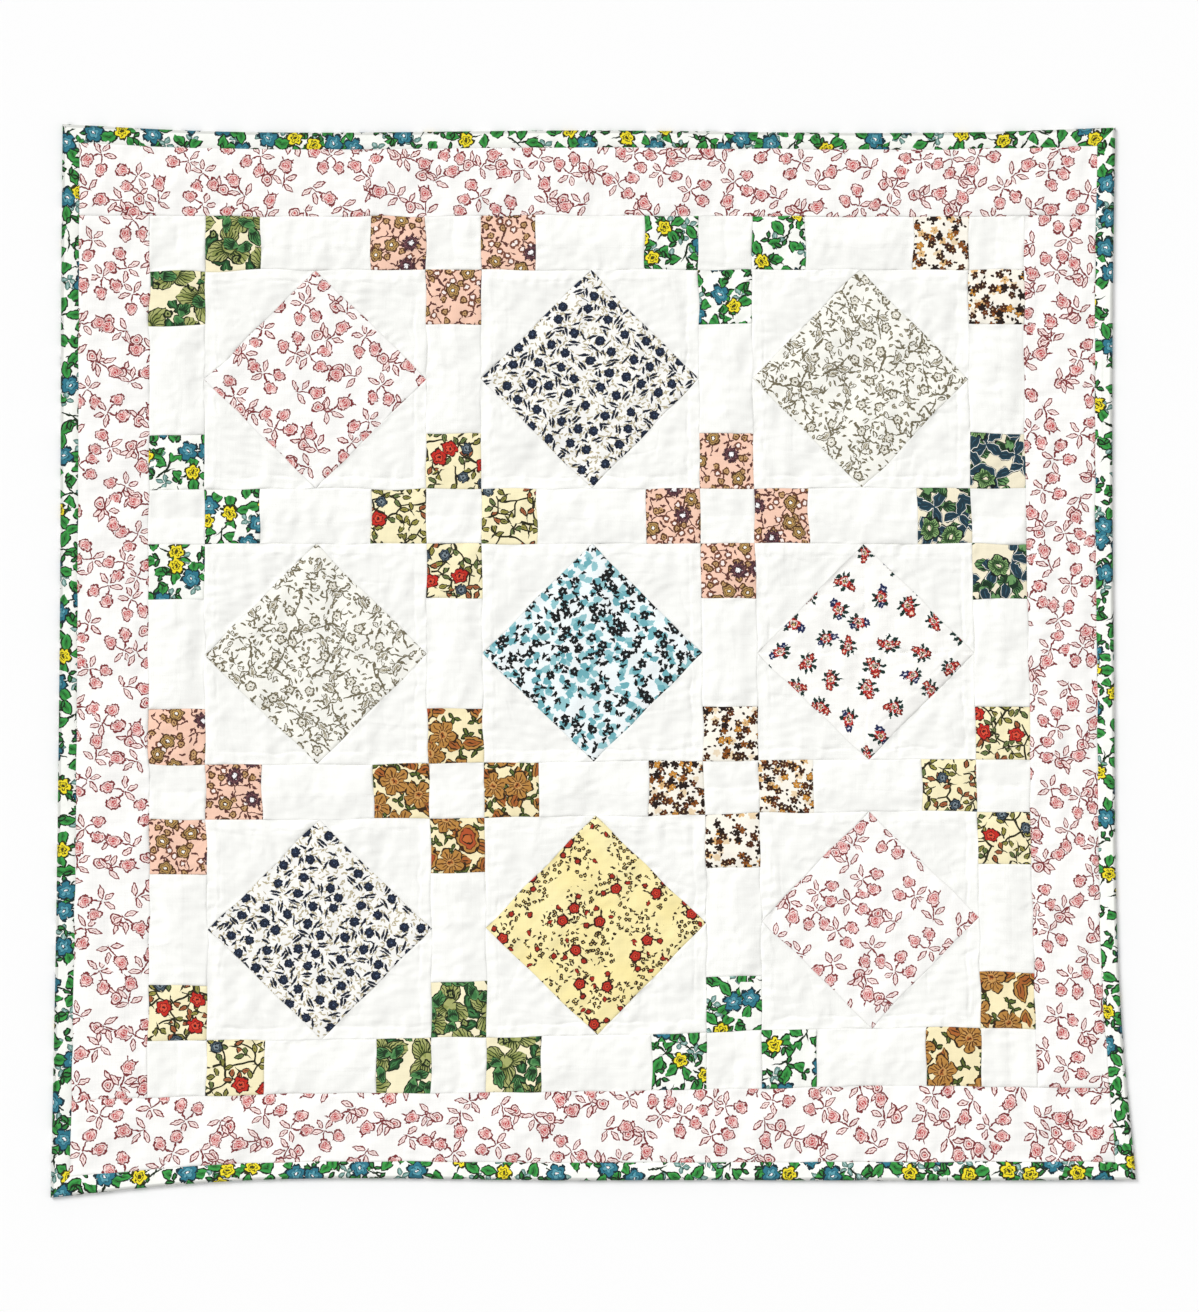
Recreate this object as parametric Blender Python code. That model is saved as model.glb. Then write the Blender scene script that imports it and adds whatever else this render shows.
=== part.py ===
"""Patchwork quilt, laid flat and face up.

A pieced centre of nine diamond blocks between narrow sashing strips, four border strips sewn
round it, and a binding folded over the raw edge in four lengths with mitred corners.

Sizes are in metres, +Z is up, and the quilt lies on z = 0 with its middle at the origin.
Every piece is first laid out true and square on the quilt's plan (u across, v up the quilt),
and is then eased to the uneven outline that the washed and handled quilt really has.
"""
import bpy
import bmesh
import numpy as np

MM = 0.001

# ---- driving sizes: the plan -------------------------------------------------------------
UNIT = 30 * MM                    # one small finished square
BLOCK_UNITS = 4                   # a diamond block is 4 x 4 units
BLOCKS = 3                        # blocks along each side
CENTRE_HALF = (BLOCKS * BLOCK_UNITS + BLOCKS + 1) * UNIT / 2
BORDER_WIDTH = 38 * MM            # border that shows, from the pieced centre to the binding
BINDING_WIDTH = 9.5 * MM          # binding that shows on the front
STITCH_HALF = CENTRE_HALF + BORDER_WIDTH
EDGE_HALF = STITCH_HALF + BINDING_WIDTH
GAP = 0.3 * MM                    # clearance between neighbouring pieces

# ---- driving sizes: heights --------------------------------------------------------------
SEAM_HEIGHT = 2.3 * MM            # top of the cloth along a seam
CROWN = 0.7 * MM                  # how far it swells between the seams
CROWN_REACH = 9 * MM              # distance from a seam at which the swelling is full
BINDING_CLOTH = 0.8 * MM          # the doubled binding cloth
BINDING_HEIGHT = 3.6 * MM         # over the fold, underside to top
TONGUE_LOW = BINDING_CLOTH + GAP
TONGUE_HIGH = BINDING_HEIGHT - BINDING_CLOTH - GAP
TONGUE_END = EDGE_HALF - BINDING_HEIGHT / 2
TONGUE_START = STITCH_HALF - GAP
BODY_HALF = TONGUE_START - GAP    # a border's full thickness ends here

# ---- driving sizes: mesh -----------------------------------------------------------------
SASHING_STEPS = 4                 # grid steps across a sashing strip
BLOCK_STEPS = 8                   # grid steps across a block
STRIP_STEPS = 20                  # grid steps along a border strip
BORDER_STEPS = 4                  # grid steps across a border strip
BINDING_STEPS = 20                # stations along a binding length
FOLD_STEPS = 5                    # facets round the binding's fold

# ---- the uneven outline ------------------------------------------------------------------
# How far the cloth has been pulled out of true, in millimetres, at five places across and
# five places up the quilt. Rows run from the bottom edge to the top edge, columns from left
# to right. The lower corners are drawn out to both sides and the lower left one down as well.
PULL_PLACES = np.array([-EDGE_HALF, -225 * MM, 0.0, 225 * MM, EDGE_HALF])
PULL_ACROSS = MM * np.array([
    #  left   block   middle  block   right
    [-10.0,   -5.0,    1.2,    5.0,   10.0],    # bottom edge
    [-8.5,    -3.0,    1.7,    2.8,    3.5],    # lowest sashing
    [-5.1,    -3.5,   -0.5,   -1.5,   -2.3],    # middle
    [-4.0,    -3.0,   -1.8,   -4.3,   -2.5],    # highest sashing
    [-3.4,    -3.0,   -1.8,   -3.0,   -1.5],    # top edge
])
PULL_UP = MM * np.array([
    [-6.7,     0.3,    2.8,    2.8,    3.1],    # bottom edge
    [0.5,      1.7,    4.6,    8.0,    6.0],    # lowest sashing
    [3.3,      3.4,    4.3,    4.3,    4.2],    # middle
    [3.6,      3.7,    4.0,    4.0,    4.0],    # highest sashing
    [6.7,      3.4,    3.2,    2.6,    4.8],    # top edge
])


def blend_weights(t):
    """Weights of the five pull places at t: a cubic through the neighbouring places.

    Between two places the curve is the Hermite cubic whose slope at each place is that of the
    line through the places on either side, or of the last stretch at the ends.
    """
    places = PULL_PLACES
    t = np.clip(np.asarray(t, float), places[0], places[-1])
    unit = np.eye(len(places))
    slope = np.gradient(unit, places, axis=0)
    i = np.clip(np.searchsorted(places, t, side="right") - 1, 0, len(places) - 2)
    span = places[i + 1] - places[i]
    s = ((t - places[i]) / span)[..., None]
    span = span[..., None]
    start = (1 + 2 * s) * (1 - s) ** 2 * unit[i] + s * (1 - s) ** 2 * span * slope[i]
    stop = s ** 2 * (3 - 2 * s) * unit[i + 1] - s ** 2 * (1 - s) * span * slope[i + 1]
    return start + stop


def eased(u, v):
    """Plan places u, v moved by the pull tables to where the cloth really lies."""
    across = blend_weights(u)
    up = blend_weights(v)
    x = u + np.einsum("...r,rc,...c->...", up, PULL_ACROSS, across)
    y = v + np.einsum("...r,rc,...c->...", up, PULL_UP, across)
    return x, y


def seam_distance(u, v):
    """Distance from a plan place to the nearest seam of the pieced centre.

    Straight seams bound every sashing strip and cross it a unit from its ends; the seams of a
    diamond run where the distances across and up from the block's middle add to half a block.
    """
    pitch = (BLOCK_UNITS + 1) * UNIT
    u_in = np.mod(u + CENTRE_HALF, pitch)
    v_in = np.mod(v + CENTRE_HALF, pitch)
    u_strip = u_in < UNIT
    v_strip = v_in < UNIT
    u_near = np.minimum(np.minimum(u_in, np.abs(u_in - UNIT)), pitch - u_in)
    v_near = np.minimum(np.minimum(v_in, np.abs(v_in - UNIT)), pitch - v_in)
    u_square = np.minimum(np.abs(u_in - 2 * UNIT), np.abs(u_in - 4 * UNIT))
    v_square = np.minimum(np.abs(v_in - 2 * UNIT), np.abs(v_in - 4 * UNIT))
    in_block = ~u_strip & ~v_strip
    side = np.abs(u_in - 3 * UNIT) + np.abs(v_in - 3 * UNIT) - 2 * UNIT
    diamond = np.where(in_block, np.abs(side) / np.sqrt(2), np.inf)
    near = np.minimum(np.minimum(u_near, v_near), diamond)
    near = np.where(u_strip & ~v_strip, np.minimum(near, v_square), near)
    return np.where(v_strip & ~u_strip, np.minimum(near, u_square), near)


def swell(distance):
    """Height over the seam line at a distance from it: rises steeply, then levels off."""
    s = np.clip(distance / CROWN_REACH, 0, 1)
    return CROWN * (1 - (1 - s) ** 2)


def centre_top(u, v):
    """Top of the pieced centre: low along every seam, swelling between them."""
    return SEAM_HEIGHT + swell(seam_distance(u, v))


def border_top_surface(u, v):
    """Top of a border strip: low at its inner seam and at the binding's stitching."""
    out = np.maximum(np.abs(u), np.abs(v))
    near = np.minimum(np.abs(out - CENTRE_HALF), np.abs(BODY_HALF - out))
    height = SEAM_HEIGHT + swell(near)
    return np.where(out > BODY_HALF + GAP / 2, TONGUE_HIGH, height)


def border_underside(u, v):
    """Underside of a border strip: flat on the ground, raised where the binding laps under."""
    out = np.maximum(np.abs(u), np.abs(v))
    return np.where(out > BODY_HALF + GAP / 2, TONGUE_LOW, 0.0)


def flat_underside(u, v):
    """The pieced centre lies flat on the ground."""
    return np.zeros_like(u)


def cloth_material(name, red, green, blue, roughness):
    """A plain woven cotton colour."""
    material = bpy.data.materials.new(name)
    material.use_nodes = True
    shader = material.node_tree.nodes["Principled BSDF"]
    shader.inputs["Base Color"].default_value = (red, green, blue, 1)
    shader.inputs["Roughness"].default_value = roughness
    shader.inputs["Metallic"].default_value = 0
    material.diffuse_color = (red, green, blue, 1)
    return material


def add_piece(name, mesh_source, material, collection):
    """Close up a bmesh into a named object in the quilt's collection."""
    bmesh.ops.recalc_face_normals(mesh_source, faces=mesh_source.faces)
    mesh = bpy.data.meshes.new(name)
    mesh_source.to_mesh(mesh)
    mesh_source.free()
    mesh.materials.append(material)
    mesh.shade_smooth()
    mesh.set_sharp_from_angle(angle=np.radians(40))
    piece = bpy.data.objects.new(name, mesh)
    collection.objects.link(piece)
    return piece


def grid_cage(columns, rows):
    """A flat bmesh grid with that many vertices each way, and its vertices in row order."""
    cage = bmesh.new()
    bmesh.ops.create_grid(cage, x_segments=columns - 1, y_segments=rows - 1, size=1)
    order = sorted(cage.verts, key=lambda vert: (round(vert.co.y, 5), round(vert.co.x, 5)))
    return cage, order


def place(verts, x, y, z):
    """Put vertices at the matching entries of x, y and z."""
    for vert, spot in zip(verts, np.stack([x, y, z], axis=-1).reshape(-1, 3)):
        vert.co = spot


def cloth_slab(name, u_lines, v_lines, top, underside, material, collection):
    """A sheet over the rectangle of plan lines, from its underside up to its top surface.

    A grid takes the height of the top surface and a copy of it that of the underside, the two
    are bridged round their rims, and the underside's flat faces are dissolved into one.
    """
    cage, order = grid_cage(len(u_lines), len(v_lines))
    v, u = np.meshgrid(v_lines, u_lines, indexing="ij")
    x, y = eased(u, v)
    lower = bmesh.ops.duplicate(cage, geom=cage.verts[:] + cage.edges[:] + cage.faces[:])
    twin = lower["vert_map"]
    low_order = [twin[vert] for vert in order]
    place(order, x, y, top(u, v))
    place(low_order, x, y, underside(u, v))
    rims = [edge for edge in cage.edges if edge.is_boundary]
    bmesh.ops.bridge_loops(cage, edges=rims)
    low = set(low_order)
    flat_faces = [face for face in cage.faces if all(vert in low for vert in face.verts)]
    flat_edges = {edge for face in flat_faces for edge in face.edges}
    inner = [edge for edge in flat_edges if all(face in flat_faces for face in edge.link_faces)]
    bmesh.ops.dissolve_limit(cage, angle_limit=np.radians(0.2), edges=inner, verts=[])
    return add_piece(name, cage, material, collection)


def sashed_lines():
    """Plan lines of the pieced centre: close over each sashing strip, wider over a block."""
    lines = [-CENTRE_HALF]
    for block in range(BLOCKS + 1):
        start = lines[-1]
        lines += [start + UNIT * step / SASHING_STEPS for step in range(1, SASHING_STEPS + 1)]
        if block < BLOCKS:
            start = lines[-1]
            size = BLOCK_UNITS * UNIT
            lines += [start + size * step / BLOCK_STEPS for step in range(1, BLOCK_STEPS + 1)]
    return np.array(lines)


def border_lines():
    """Plan lines across a border strip, inner edge to the end of its tongue."""
    body = np.linspace(CENTRE_HALF + GAP, BODY_HALF, BORDER_STEPS + 1)
    return np.concatenate([body, [TONGUE_START, TONGUE_END]])


def full_width_lines():
    """Plan lines along a border strip that runs right across the quilt."""
    body = np.linspace(-BODY_HALF, BODY_HALF, STRIP_STEPS + 1)
    return np.concatenate([[-TONGUE_END, -TONGUE_START], body, [TONGUE_START, TONGUE_END]])


def between_lines():
    """Plan lines along a border strip that fits between the other two."""
    return np.linspace(-CENTRE_HALF, CENTRE_HALF, STRIP_STEPS - 2)


def binding_section():
    """The U of folded cloth: distance in from the quilt's edge, and height.

    Two straight legs joined by a half circle, whose outer radius is half the binding's height.
    """
    radius = BINDING_HEIGHT / 2
    turn = np.linspace(-np.pi / 2, np.pi / 2, FOLD_STEPS + 1)
    outer = np.stack([radius - radius * np.cos(turn), radius + radius * np.sin(turn)], axis=-1)
    slot = radius - BINDING_CLOTH
    inner = np.stack([radius - slot * np.cos(turn), radius + slot * np.sin(turn)], axis=-1)
    legs_out = np.array([[BINDING_WIDTH, 0], [BINDING_WIDTH, BINDING_HEIGHT]])
    legs_in = np.array([[BINDING_WIDTH, BINDING_HEIGHT - BINDING_CLOTH],
                        [BINDING_WIDTH, BINDING_CLOTH]])
    return np.concatenate([legs_out[:1], outer, legs_out[1:], legs_in[:1],
                           inner[::-1], legs_in[1:], legs_out[:1]])


def binding_length(name, side, material, collection):
    """One length of binding: the U section carried along an edge, cut at 45 degrees.

    A point that lies deeper in from the edge runs a shorter way, which makes the mitres.
    The side gives the outward direction: (0, 1) is the top edge, (1, 0) the right one.
    """
    section = binding_section()
    cage, order = grid_cage(len(section), BINDING_STEPS + 1)
    depth, height = section[:, 0], section[:, 1]
    run = np.linspace(-1, 1, BINDING_STEPS + 1)[:, None]
    mitre_gap = GAP / 2 * np.sqrt(2)
    along = run * (EDGE_HALF - depth - mitre_gap)
    out = np.broadcast_to(EDGE_HALF - depth, along.shape)
    u = along * side[1] + out * side[0]
    v = along * -side[0] + out * side[1]
    x, y = eased(u, v)
    place(order, x, y, np.broadcast_to(height, along.shape))
    bmesh.ops.remove_doubles(cage, verts=cage.verts, dist=1e-6)
    rims = [edge for edge in cage.edges if edge.is_boundary]
    bmesh.ops.holes_fill(cage, edges=rims)
    return add_piece(name, cage, material, collection)


def build():
    """Clear the scene and lay out the nine pieces of the quilt."""
    for old in list(bpy.data.objects):
        bpy.data.objects.remove(old, do_unlink=True)
    quilt = bpy.data.collections.new("patchwork_quilt")
    bpy.context.scene.collection.children.link(quilt)
    white = cloth_material("white_cotton", 0.93, 0.93, 0.90, 0.85)
    rose = cloth_material("rose_print_cotton", 0.90, 0.78, 0.75, 0.85)
    leaf = cloth_material("leaf_print_cotton", 0.45, 0.62, 0.42, 0.85)

    centre = sashed_lines()
    cloth_slab("patchwork_centre", centre, centre, centre_top, flat_underside, white, quilt)
    across = border_lines()
    borders = (
        # name            plan lines across u   plan lines up v
        ("border_top",    full_width_lines(),   across),
        ("border_bottom", full_width_lines(),   -across[::-1]),
        ("border_left",   -across[::-1],        between_lines()),
        ("border_right",  across,               between_lines()),
    )
    for name, u_lines, v_lines in borders:
        cloth_slab(name, u_lines, v_lines, border_top_surface, border_underside, rose, quilt)
    bindings = (
        # name             outward side
        ("binding_top",    (0, 1)),
        ("binding_bottom", (0, -1)),
        ("binding_left",   (-1, 0)),
        ("binding_right",  (1, 0)),
    )
    for name, side in bindings:
        binding_length(name, side, leaf, quilt)


build()
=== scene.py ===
# %% [markdown]
# # A patchwork quilt, laid flat
#
# The quilt is sewn from 133 small patches: nine squares of printed cotton set on point in white
# cotton, narrow sashing strips that end in small print squares, a border of rose print, and a
# binding of leafy print folded over the raw edge. This lesson lays each patch as a thin grid of
# its own, puckers and presses it as sewing does, and prints its cotton with motifs that are
# worked out by formulas alone.

# %% Load the frame
import math

import bpy
import numpy as np
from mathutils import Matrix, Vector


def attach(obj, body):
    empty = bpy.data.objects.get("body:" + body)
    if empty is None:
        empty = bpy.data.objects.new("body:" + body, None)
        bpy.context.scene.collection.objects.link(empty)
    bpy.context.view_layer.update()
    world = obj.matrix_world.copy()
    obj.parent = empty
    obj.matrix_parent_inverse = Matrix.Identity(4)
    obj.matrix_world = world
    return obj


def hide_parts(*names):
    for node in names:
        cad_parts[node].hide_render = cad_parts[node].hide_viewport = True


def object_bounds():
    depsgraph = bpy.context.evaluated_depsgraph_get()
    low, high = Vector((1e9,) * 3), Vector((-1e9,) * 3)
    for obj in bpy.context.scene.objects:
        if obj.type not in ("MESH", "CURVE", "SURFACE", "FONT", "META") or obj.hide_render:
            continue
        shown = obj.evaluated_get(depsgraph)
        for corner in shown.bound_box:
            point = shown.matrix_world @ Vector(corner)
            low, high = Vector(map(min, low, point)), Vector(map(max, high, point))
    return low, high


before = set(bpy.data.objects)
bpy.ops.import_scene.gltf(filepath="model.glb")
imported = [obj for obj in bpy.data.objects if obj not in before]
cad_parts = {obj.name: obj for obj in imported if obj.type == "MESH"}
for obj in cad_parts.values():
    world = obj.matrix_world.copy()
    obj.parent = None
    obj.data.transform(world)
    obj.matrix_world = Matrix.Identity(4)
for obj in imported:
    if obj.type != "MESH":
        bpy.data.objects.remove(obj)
cad_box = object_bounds()
scene = bpy.context.scene
print("nodes in the frame:", sorted(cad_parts))

# %% [markdown]
# ## The plan
#
# A quilter works from one unit, the small finished square. Everything else is counted in it:
# a diamond block is four units wide, a sashing strip is one. All sizes are in metres, so a
# length in millimetres is multiplied by MM.

# %% Driving sizes of the plan
MM = 0.001
UNIT = 30 * MM
BLOCK = 4 * UNIT
PITCH = BLOCK + UNIT
CENTRE_HALF = (3 * BLOCK + 4 * UNIT) / 2
BORDER_WIDTH = 38 * MM
BINDING_WIDTH = 9.5 * MM
STITCH_HALF = CENTRE_HALF + BORDER_WIDTH
EDGE_HALF = STITCH_HALF + BINDING_WIDTH
print(f"pieced centre {2 * CENTRE_HALF / MM:.0f} mm, whole plan {2 * EDGE_HALF / MM:.0f} mm")

# %% [markdown]
# A washed and handled quilt is never quite square. Two short tables hold how far the cloth has
# been pulled out of true at five places across and five places up, and a cubic blends between
# them, so that every seam bends gently and stays joined to its neighbour. The frame's solids
# follow the same tables.

# %% Pull the plan out of true
PULL_PLACES = np.array([-EDGE_HALF, -225 * MM, 0.0, 225 * MM, EDGE_HALF])
PULL_ACROSS = MM * np.array([
    #  left   block   middle  block   right
    [-10.0,   -5.0,    1.2,    5.0,   10.0],    # bottom edge
    [-8.5,    -3.0,    1.7,    2.8,    3.5],    # lowest sashing
    [-5.1,    -3.5,   -0.5,   -1.5,   -2.3],    # middle
    [-4.0,    -3.0,   -1.8,   -4.3,   -2.5],    # highest sashing
    [-3.4,    -3.0,   -1.8,   -3.0,   -1.5],    # top edge
])
PULL_UP = MM * np.array([
    [-6.7,     0.3,    2.8,    2.8,    3.1],    # bottom edge
    [0.5,      1.7,    4.6,    8.0,    6.0],    # lowest sashing
    [3.3,      3.4,    4.3,    4.3,    4.2],    # middle
    [3.6,      3.7,    4.0,    4.0,    4.0],    # highest sashing
    [6.7,      3.4,    3.2,    2.6,    4.8],    # top edge
])


def blend_weights(t):
    """Weights of the five pull places at t: the Hermite cubic between neighbouring places,
    whose slope at each place is that of the line through the places on either side."""
    places = PULL_PLACES
    t = np.clip(np.asarray(t, float), places[0], places[-1])
    unit = np.eye(len(places))
    slope = np.gradient(unit, places, axis=0)
    i = np.clip(np.searchsorted(places, t, side="right") - 1, 0, len(places) - 2)
    span = (places[i + 1] - places[i])[..., None]
    s = (t - places[i])[..., None] / span
    start = (1 + 2 * s) * (1 - s) ** 2 * unit[i] + s * (1 - s) ** 2 * span * slope[i]
    stop = s ** 2 * (3 - 2 * s) * unit[i + 1] - s ** 2 * (1 - s) * span * slope[i + 1]
    return start + stop


def waves(u, v, wavelength, seed, count=24, stretch=(1.0, 1.0)):
    """A soft random field of about -1 to 1: the sum of plane waves of about one wavelength,
    each with its own direction, length and phase; stretch lengthens it across or up."""
    draw = np.random.default_rng(seed)
    total = np.zeros(np.shape(u))
    for _ in range(count):
        turn, phase = draw.uniform(0, math.tau, 2)
        step = math.tau / (wavelength * draw.uniform(0.7, 1.5))
        total += np.cos(step * (u / stretch[0] * math.cos(turn)
                                + v / stretch[1] * math.sin(turn)) + phase)
    return total * math.sqrt(2 / count)


SEWING_WAVER = 0.28 * MM


def eased(u, v):
    """Plan places moved to where the cloth lies: the pull tables, and a small waver such as
    hand-guided sewing leaves in every seam, which fades out at the quilt's edge."""
    across, up = blend_weights(u), blend_weights(v)
    inside = np.clip((EDGE_HALF - np.maximum(np.abs(u), np.abs(v))) / (20 * MM), 0, 1)
    x = u + np.einsum("...r,rc,...c->...", up, PULL_ACROSS, across)
    y = v + np.einsum("...r,rc,...c->...", up, PULL_UP, across)
    x = x + SEWING_WAVER * inside * waves(u, v, 34 * MM, 11)
    y = y + SEWING_WAVER * inside * waves(u, v, 34 * MM, 12)
    return x, y


corner_x, corner_y = eased(EDGE_HALF * np.array([-1, 1, 1, -1]), EDGE_HALF * np.array([-1, -1, 1, 1]))
print("corners in mm:", [(round(x / MM, 1), round(y / MM, 1)) for x, y in zip(corner_x, corner_y)])

# %% [markdown]
# ## Camera, floor and light
#
# A quilt is shown by lying it on a white surface and looking straight down at its face, from
# far enough that its edges stay parallel. The lights are big and soft. The stronger one comes
# from the upper left at a slant of about forty degrees, because only light from one side shows
# the puckers of white cloth. The view transform is plain, so that white cloth stays white.

# %% Camera
PICTURE_HEIGHT = 718 * MM        # what the view takes in, top to bottom, on the quilt's face
LENS_MM = 85
SENSOR_MM = 36
VIEW_SHIFT = (3.3 * MM, 2.7 * MM)   # the quilt lies a little left of and below the middle

camera_data = bpy.data.cameras.new("overhead_camera")
camera_data.lens = LENS_MM
camera_data.sensor_width = SENSOR_MM
camera = bpy.data.objects.new("overhead_camera", camera_data)
camera.location = (*VIEW_SHIFT, PICTURE_HEIGHT * LENS_MM / SENSOR_MM + cad_box[1][2])
scene.collection.objects.link(camera)
scene.camera = camera
scene.view_settings.view_transform = "Standard"
print(f"camera {camera.location.z:.2f} m above the floor")

# %% [markdown]
# ## Adding nodes
#
# Every finish below is a node tree. One small function adds a node, gives it its settings and
# joins its inputs, so that a tree reads as a list of what is done to the cloth. Colours are
# written as they look on a screen and turned into the linear light that a renderer works in.


# %% One function for nodes, one for colours
def add(tree, kind, *inputs, out=0, **settings):
    """Add one shader node: inputs fill its sockets in order, settings are its own options or
    sockets by name. Returns the named output, or the node itself when out is None."""
    made = tree.nodes.new("ShaderNode" + kind)
    named = {}
    for name, value in settings.items():
        if name in made.inputs:
            named[name] = value
        else:
            setattr(made, name, value)
    pairs = list(zip(made.inputs, inputs)) + [(made.inputs[name], v) for name, v in named.items()]
    for socket, value in pairs:
        if isinstance(value, bpy.types.NodeSocket):
            tree.links.new(value, socket)
        elif value is not None:
            socket.default_value = value
    return made if out is None else made.outputs[out]


def linear(hex_colour):
    """An sRGB colour such as #FCF9F7 as linear red, green, blue and full alpha."""
    parts = [int(hex_colour[i:i + 2], 16) / 255 for i in (1, 3, 5)]
    return tuple(c / 12.92 if c <= 0.04045 else ((c + 0.055) / 1.055) ** 2.4 for c in parts) + (1,)


print("a middle grey of 0.50 on the screen is", round(linear("#808080")[0], 2), "in linear light")


# %% [markdown]
# The floor is a big sheet of matt white paper, white enough to fade into the light. The world
# gives even light from all round, and two distant lamps with wide spreads give soft shadows.

# %% Floor and lights
FLOOR_SIZE = 8.0
floor_mesh = bpy.data.meshes.new("floor")
floor_mesh.from_pydata([(x * FLOOR_SIZE / 2, y * FLOOR_SIZE / 2, 0)
                        for x, y in ((-1, -1), (1, -1), (1, 1), (-1, 1))], [], [(0, 1, 2, 3)])
floor = bpy.data.objects.new("floor", floor_mesh)
scene.collection.objects.link(floor)
paper = bpy.data.materials.new("matt_white_paper")
paper.use_nodes = True
paper.node_tree.nodes["Principled BSDF"].inputs["Base Color"].default_value = linear("#FBFBFB")
paper.node_tree.nodes["Principled BSDF"].inputs["Roughness"].default_value = 0.9
floor_mesh.materials.append(paper)

SKY_STRENGTH = 0.60             # the even light from all round
world = bpy.data.worlds.new("studio")
scene.world = world
world.use_nodes = True
world.node_tree.nodes["Background"].inputs["Color"].default_value = linear("#FFFFFF")
world.node_tree.nodes["Background"].inputs["Strength"].default_value = SKY_STRENGTH

SOFT_LIGHTS = (
    # name         strength  spread  where it shines from
    ("key_light",  1.92,     26,     (-1.0, 1.0, 1.15)),     # spread in degrees
    ("fill_light", 0.15,     60,     (1.0, -0.6, 1.6)),
)
for name, strength, spread, place in SOFT_LIGHTS:
    light_data = bpy.data.lights.new(name, "SUN")
    light_data.energy = strength
    light_data.angle = math.radians(spread)
    light = bpy.data.objects.new(name, light_data)
    light.location = place
    light.rotation_euler = (-light.location).to_track_quat("-Z", "Y").to_euler()
    scene.collection.objects.link(light)
print("lights:", [name for name, *_ in SOFT_LIGHTS])

# %% [markdown]
# ## Printing cotton
#
# A furnishing print is a ground colour with motifs laid over it. Each motif here is a *reach*:
# a number that is 0 in the motif's middle and 1 on its outline. A colour ramp then inks it in
# bands, from the eye of a flower to the dark line round it. Motifs are sown one to a cell of an
# uneven grid, turned and flipped by chance, and the cloth's places are first shaken by a soft
# noise, so that every outline wavers as if drawn by hand. All places are in millimetres.


# %% Sowing motifs
SOWN_ON_SLANT = 27             # degrees between the rows of motifs and the cloth's threads


def shaken(tree, cloth, wobble, size):
    """Cloth places moved by up to wobble, by a noise whose bumps are about size wide."""
    noise = add(tree, "TexNoise", cloth, noise_dimensions="2D", Scale=1 / size, Detail=1.0, out="Color")
    centred = add(tree, "VectorMath", noise, (0.5, 0.5, 0.5), operation="SUBTRACT")
    return add(tree, "VectorMath", centred, (2 * wobble, 2 * wobble, 0), cloth, operation="MULTIPLY_ADD")


def sow(tree, cloth, spacing, start, jitter=0.6, turns=1.0):
    """Places measured from the middle of the nearest motif, turned by up to that many turns
    and flipped in half of the cells, and the cell's lot, a random number from 0 to 1. The grid
    of cells is turned by SOWN_ON_SLANT, so that its rows never run along a patch's sides."""
    moved = add(tree, "Mapping", cloth, (start, 0.7 * start, 0), (0, 0, math.radians(SOWN_ON_SLANT)))
    cells = add(tree, "TexVoronoi", moved, voronoi_dimensions="2D", out=None,
                Scale=1 / spacing, Randomness=jitter)
    near = add(tree, "VectorMath", moved, cells.outputs["Position"], operation="SUBTRACT")
    lots = add(tree, "SeparateColor", cells.outputs["Color"], out=None)
    angle = add(tree, "Math", lots.outputs[0], turns * math.tau, -turns * math.pi,
                operation="MULTIPLY_ADD")
    turned = add(tree, "VectorRotate", near, Angle=angle, rotation_type="Z_AXIS")
    flipped = add(tree, "Math", lots.outputs[1], 0.5, operation="GREATER_THAN")
    side = add(tree, "Math", flipped, 2, -1, operation="MULTIPLY_ADD")
    mirror = add(tree, "CombineXYZ", side, 1.0, 0.0)
    return add(tree, "VectorMath", turned, mirror, operation="MULTIPLY"), lots.outputs[2]


def mottled(tree, cloth, size, start):
    """A soft noise from 0 to 1 over the cloth, which says where a motif is left out."""
    moved = add(tree, "VectorMath", cloth, (start, start, 0), operation="ADD")
    return add(tree, "TexNoise", moved, noise_dimensions="2D", Scale=1 / size, Detail=0.0)


print("rows of motifs lie", SOWN_ON_SLANT, "degrees off the threads")


# %% Shapes of motifs
def leaf(tree, place, at, turn, length, width, bend=0.0):
    """Reach of a pointed leaf: |y| + x squared, with x from -1 to 1 along it and y from -1 to 1
    across its widest part. A long thin one is a stem, and bend bows it by that share."""
    own = add(tree, "Mapping", place, (*at, 0), (0, 0, math.radians(turn)),
              (length / 2, width / 2, 1), vector_type="TEXTURE")
    split = add(tree, "SeparateXYZ", own, out=None)
    x, y = split.outputs[0], split.outputs[1]
    if bend:
        bow = add(tree, "Math", x, x, operation="MULTIPLY")
        y = add(tree, "Math", bow, bend * length / width, y, operation="MULTIPLY_ADD")
    side = add(tree, "Math", y, operation="ABSOLUTE")
    return add(tree, "Math", x, x, side, operation="MULTIPLY_ADD")


def blossom(tree, place, at, petals, radius, notch, tall=1.0):
    """Reach of a flower head: the distance from its middle over the outline's radius there,
    which swings between 1 - notch and 1 of the full radius once for each petal. Its height is
    tall times its width."""
    own = add(tree, "Mapping", place, (*at, 0), (0, 0, 0), (radius, radius * tall, 1),
              vector_type="TEXTURE")
    distance = add(tree, "VectorMath", own, operation="LENGTH", out="Value")
    split = add(tree, "SeparateXYZ", own, out=None)
    angle = add(tree, "Math", split.outputs[1], split.outputs[0], operation="ARCTAN2")
    swing = add(tree, "Math", angle, petals / 2, operation="MULTIPLY")
    lobes = add(tree, "Math", add(tree, "Math", swing, operation="COSINE"), operation="ABSOLUTE")
    edge = add(tree, "Math", lobes, notch, 1 - notch, operation="MULTIPLY_ADD")
    return add(tree, "Math", distance, edge, operation="DIVIDE")


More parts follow.
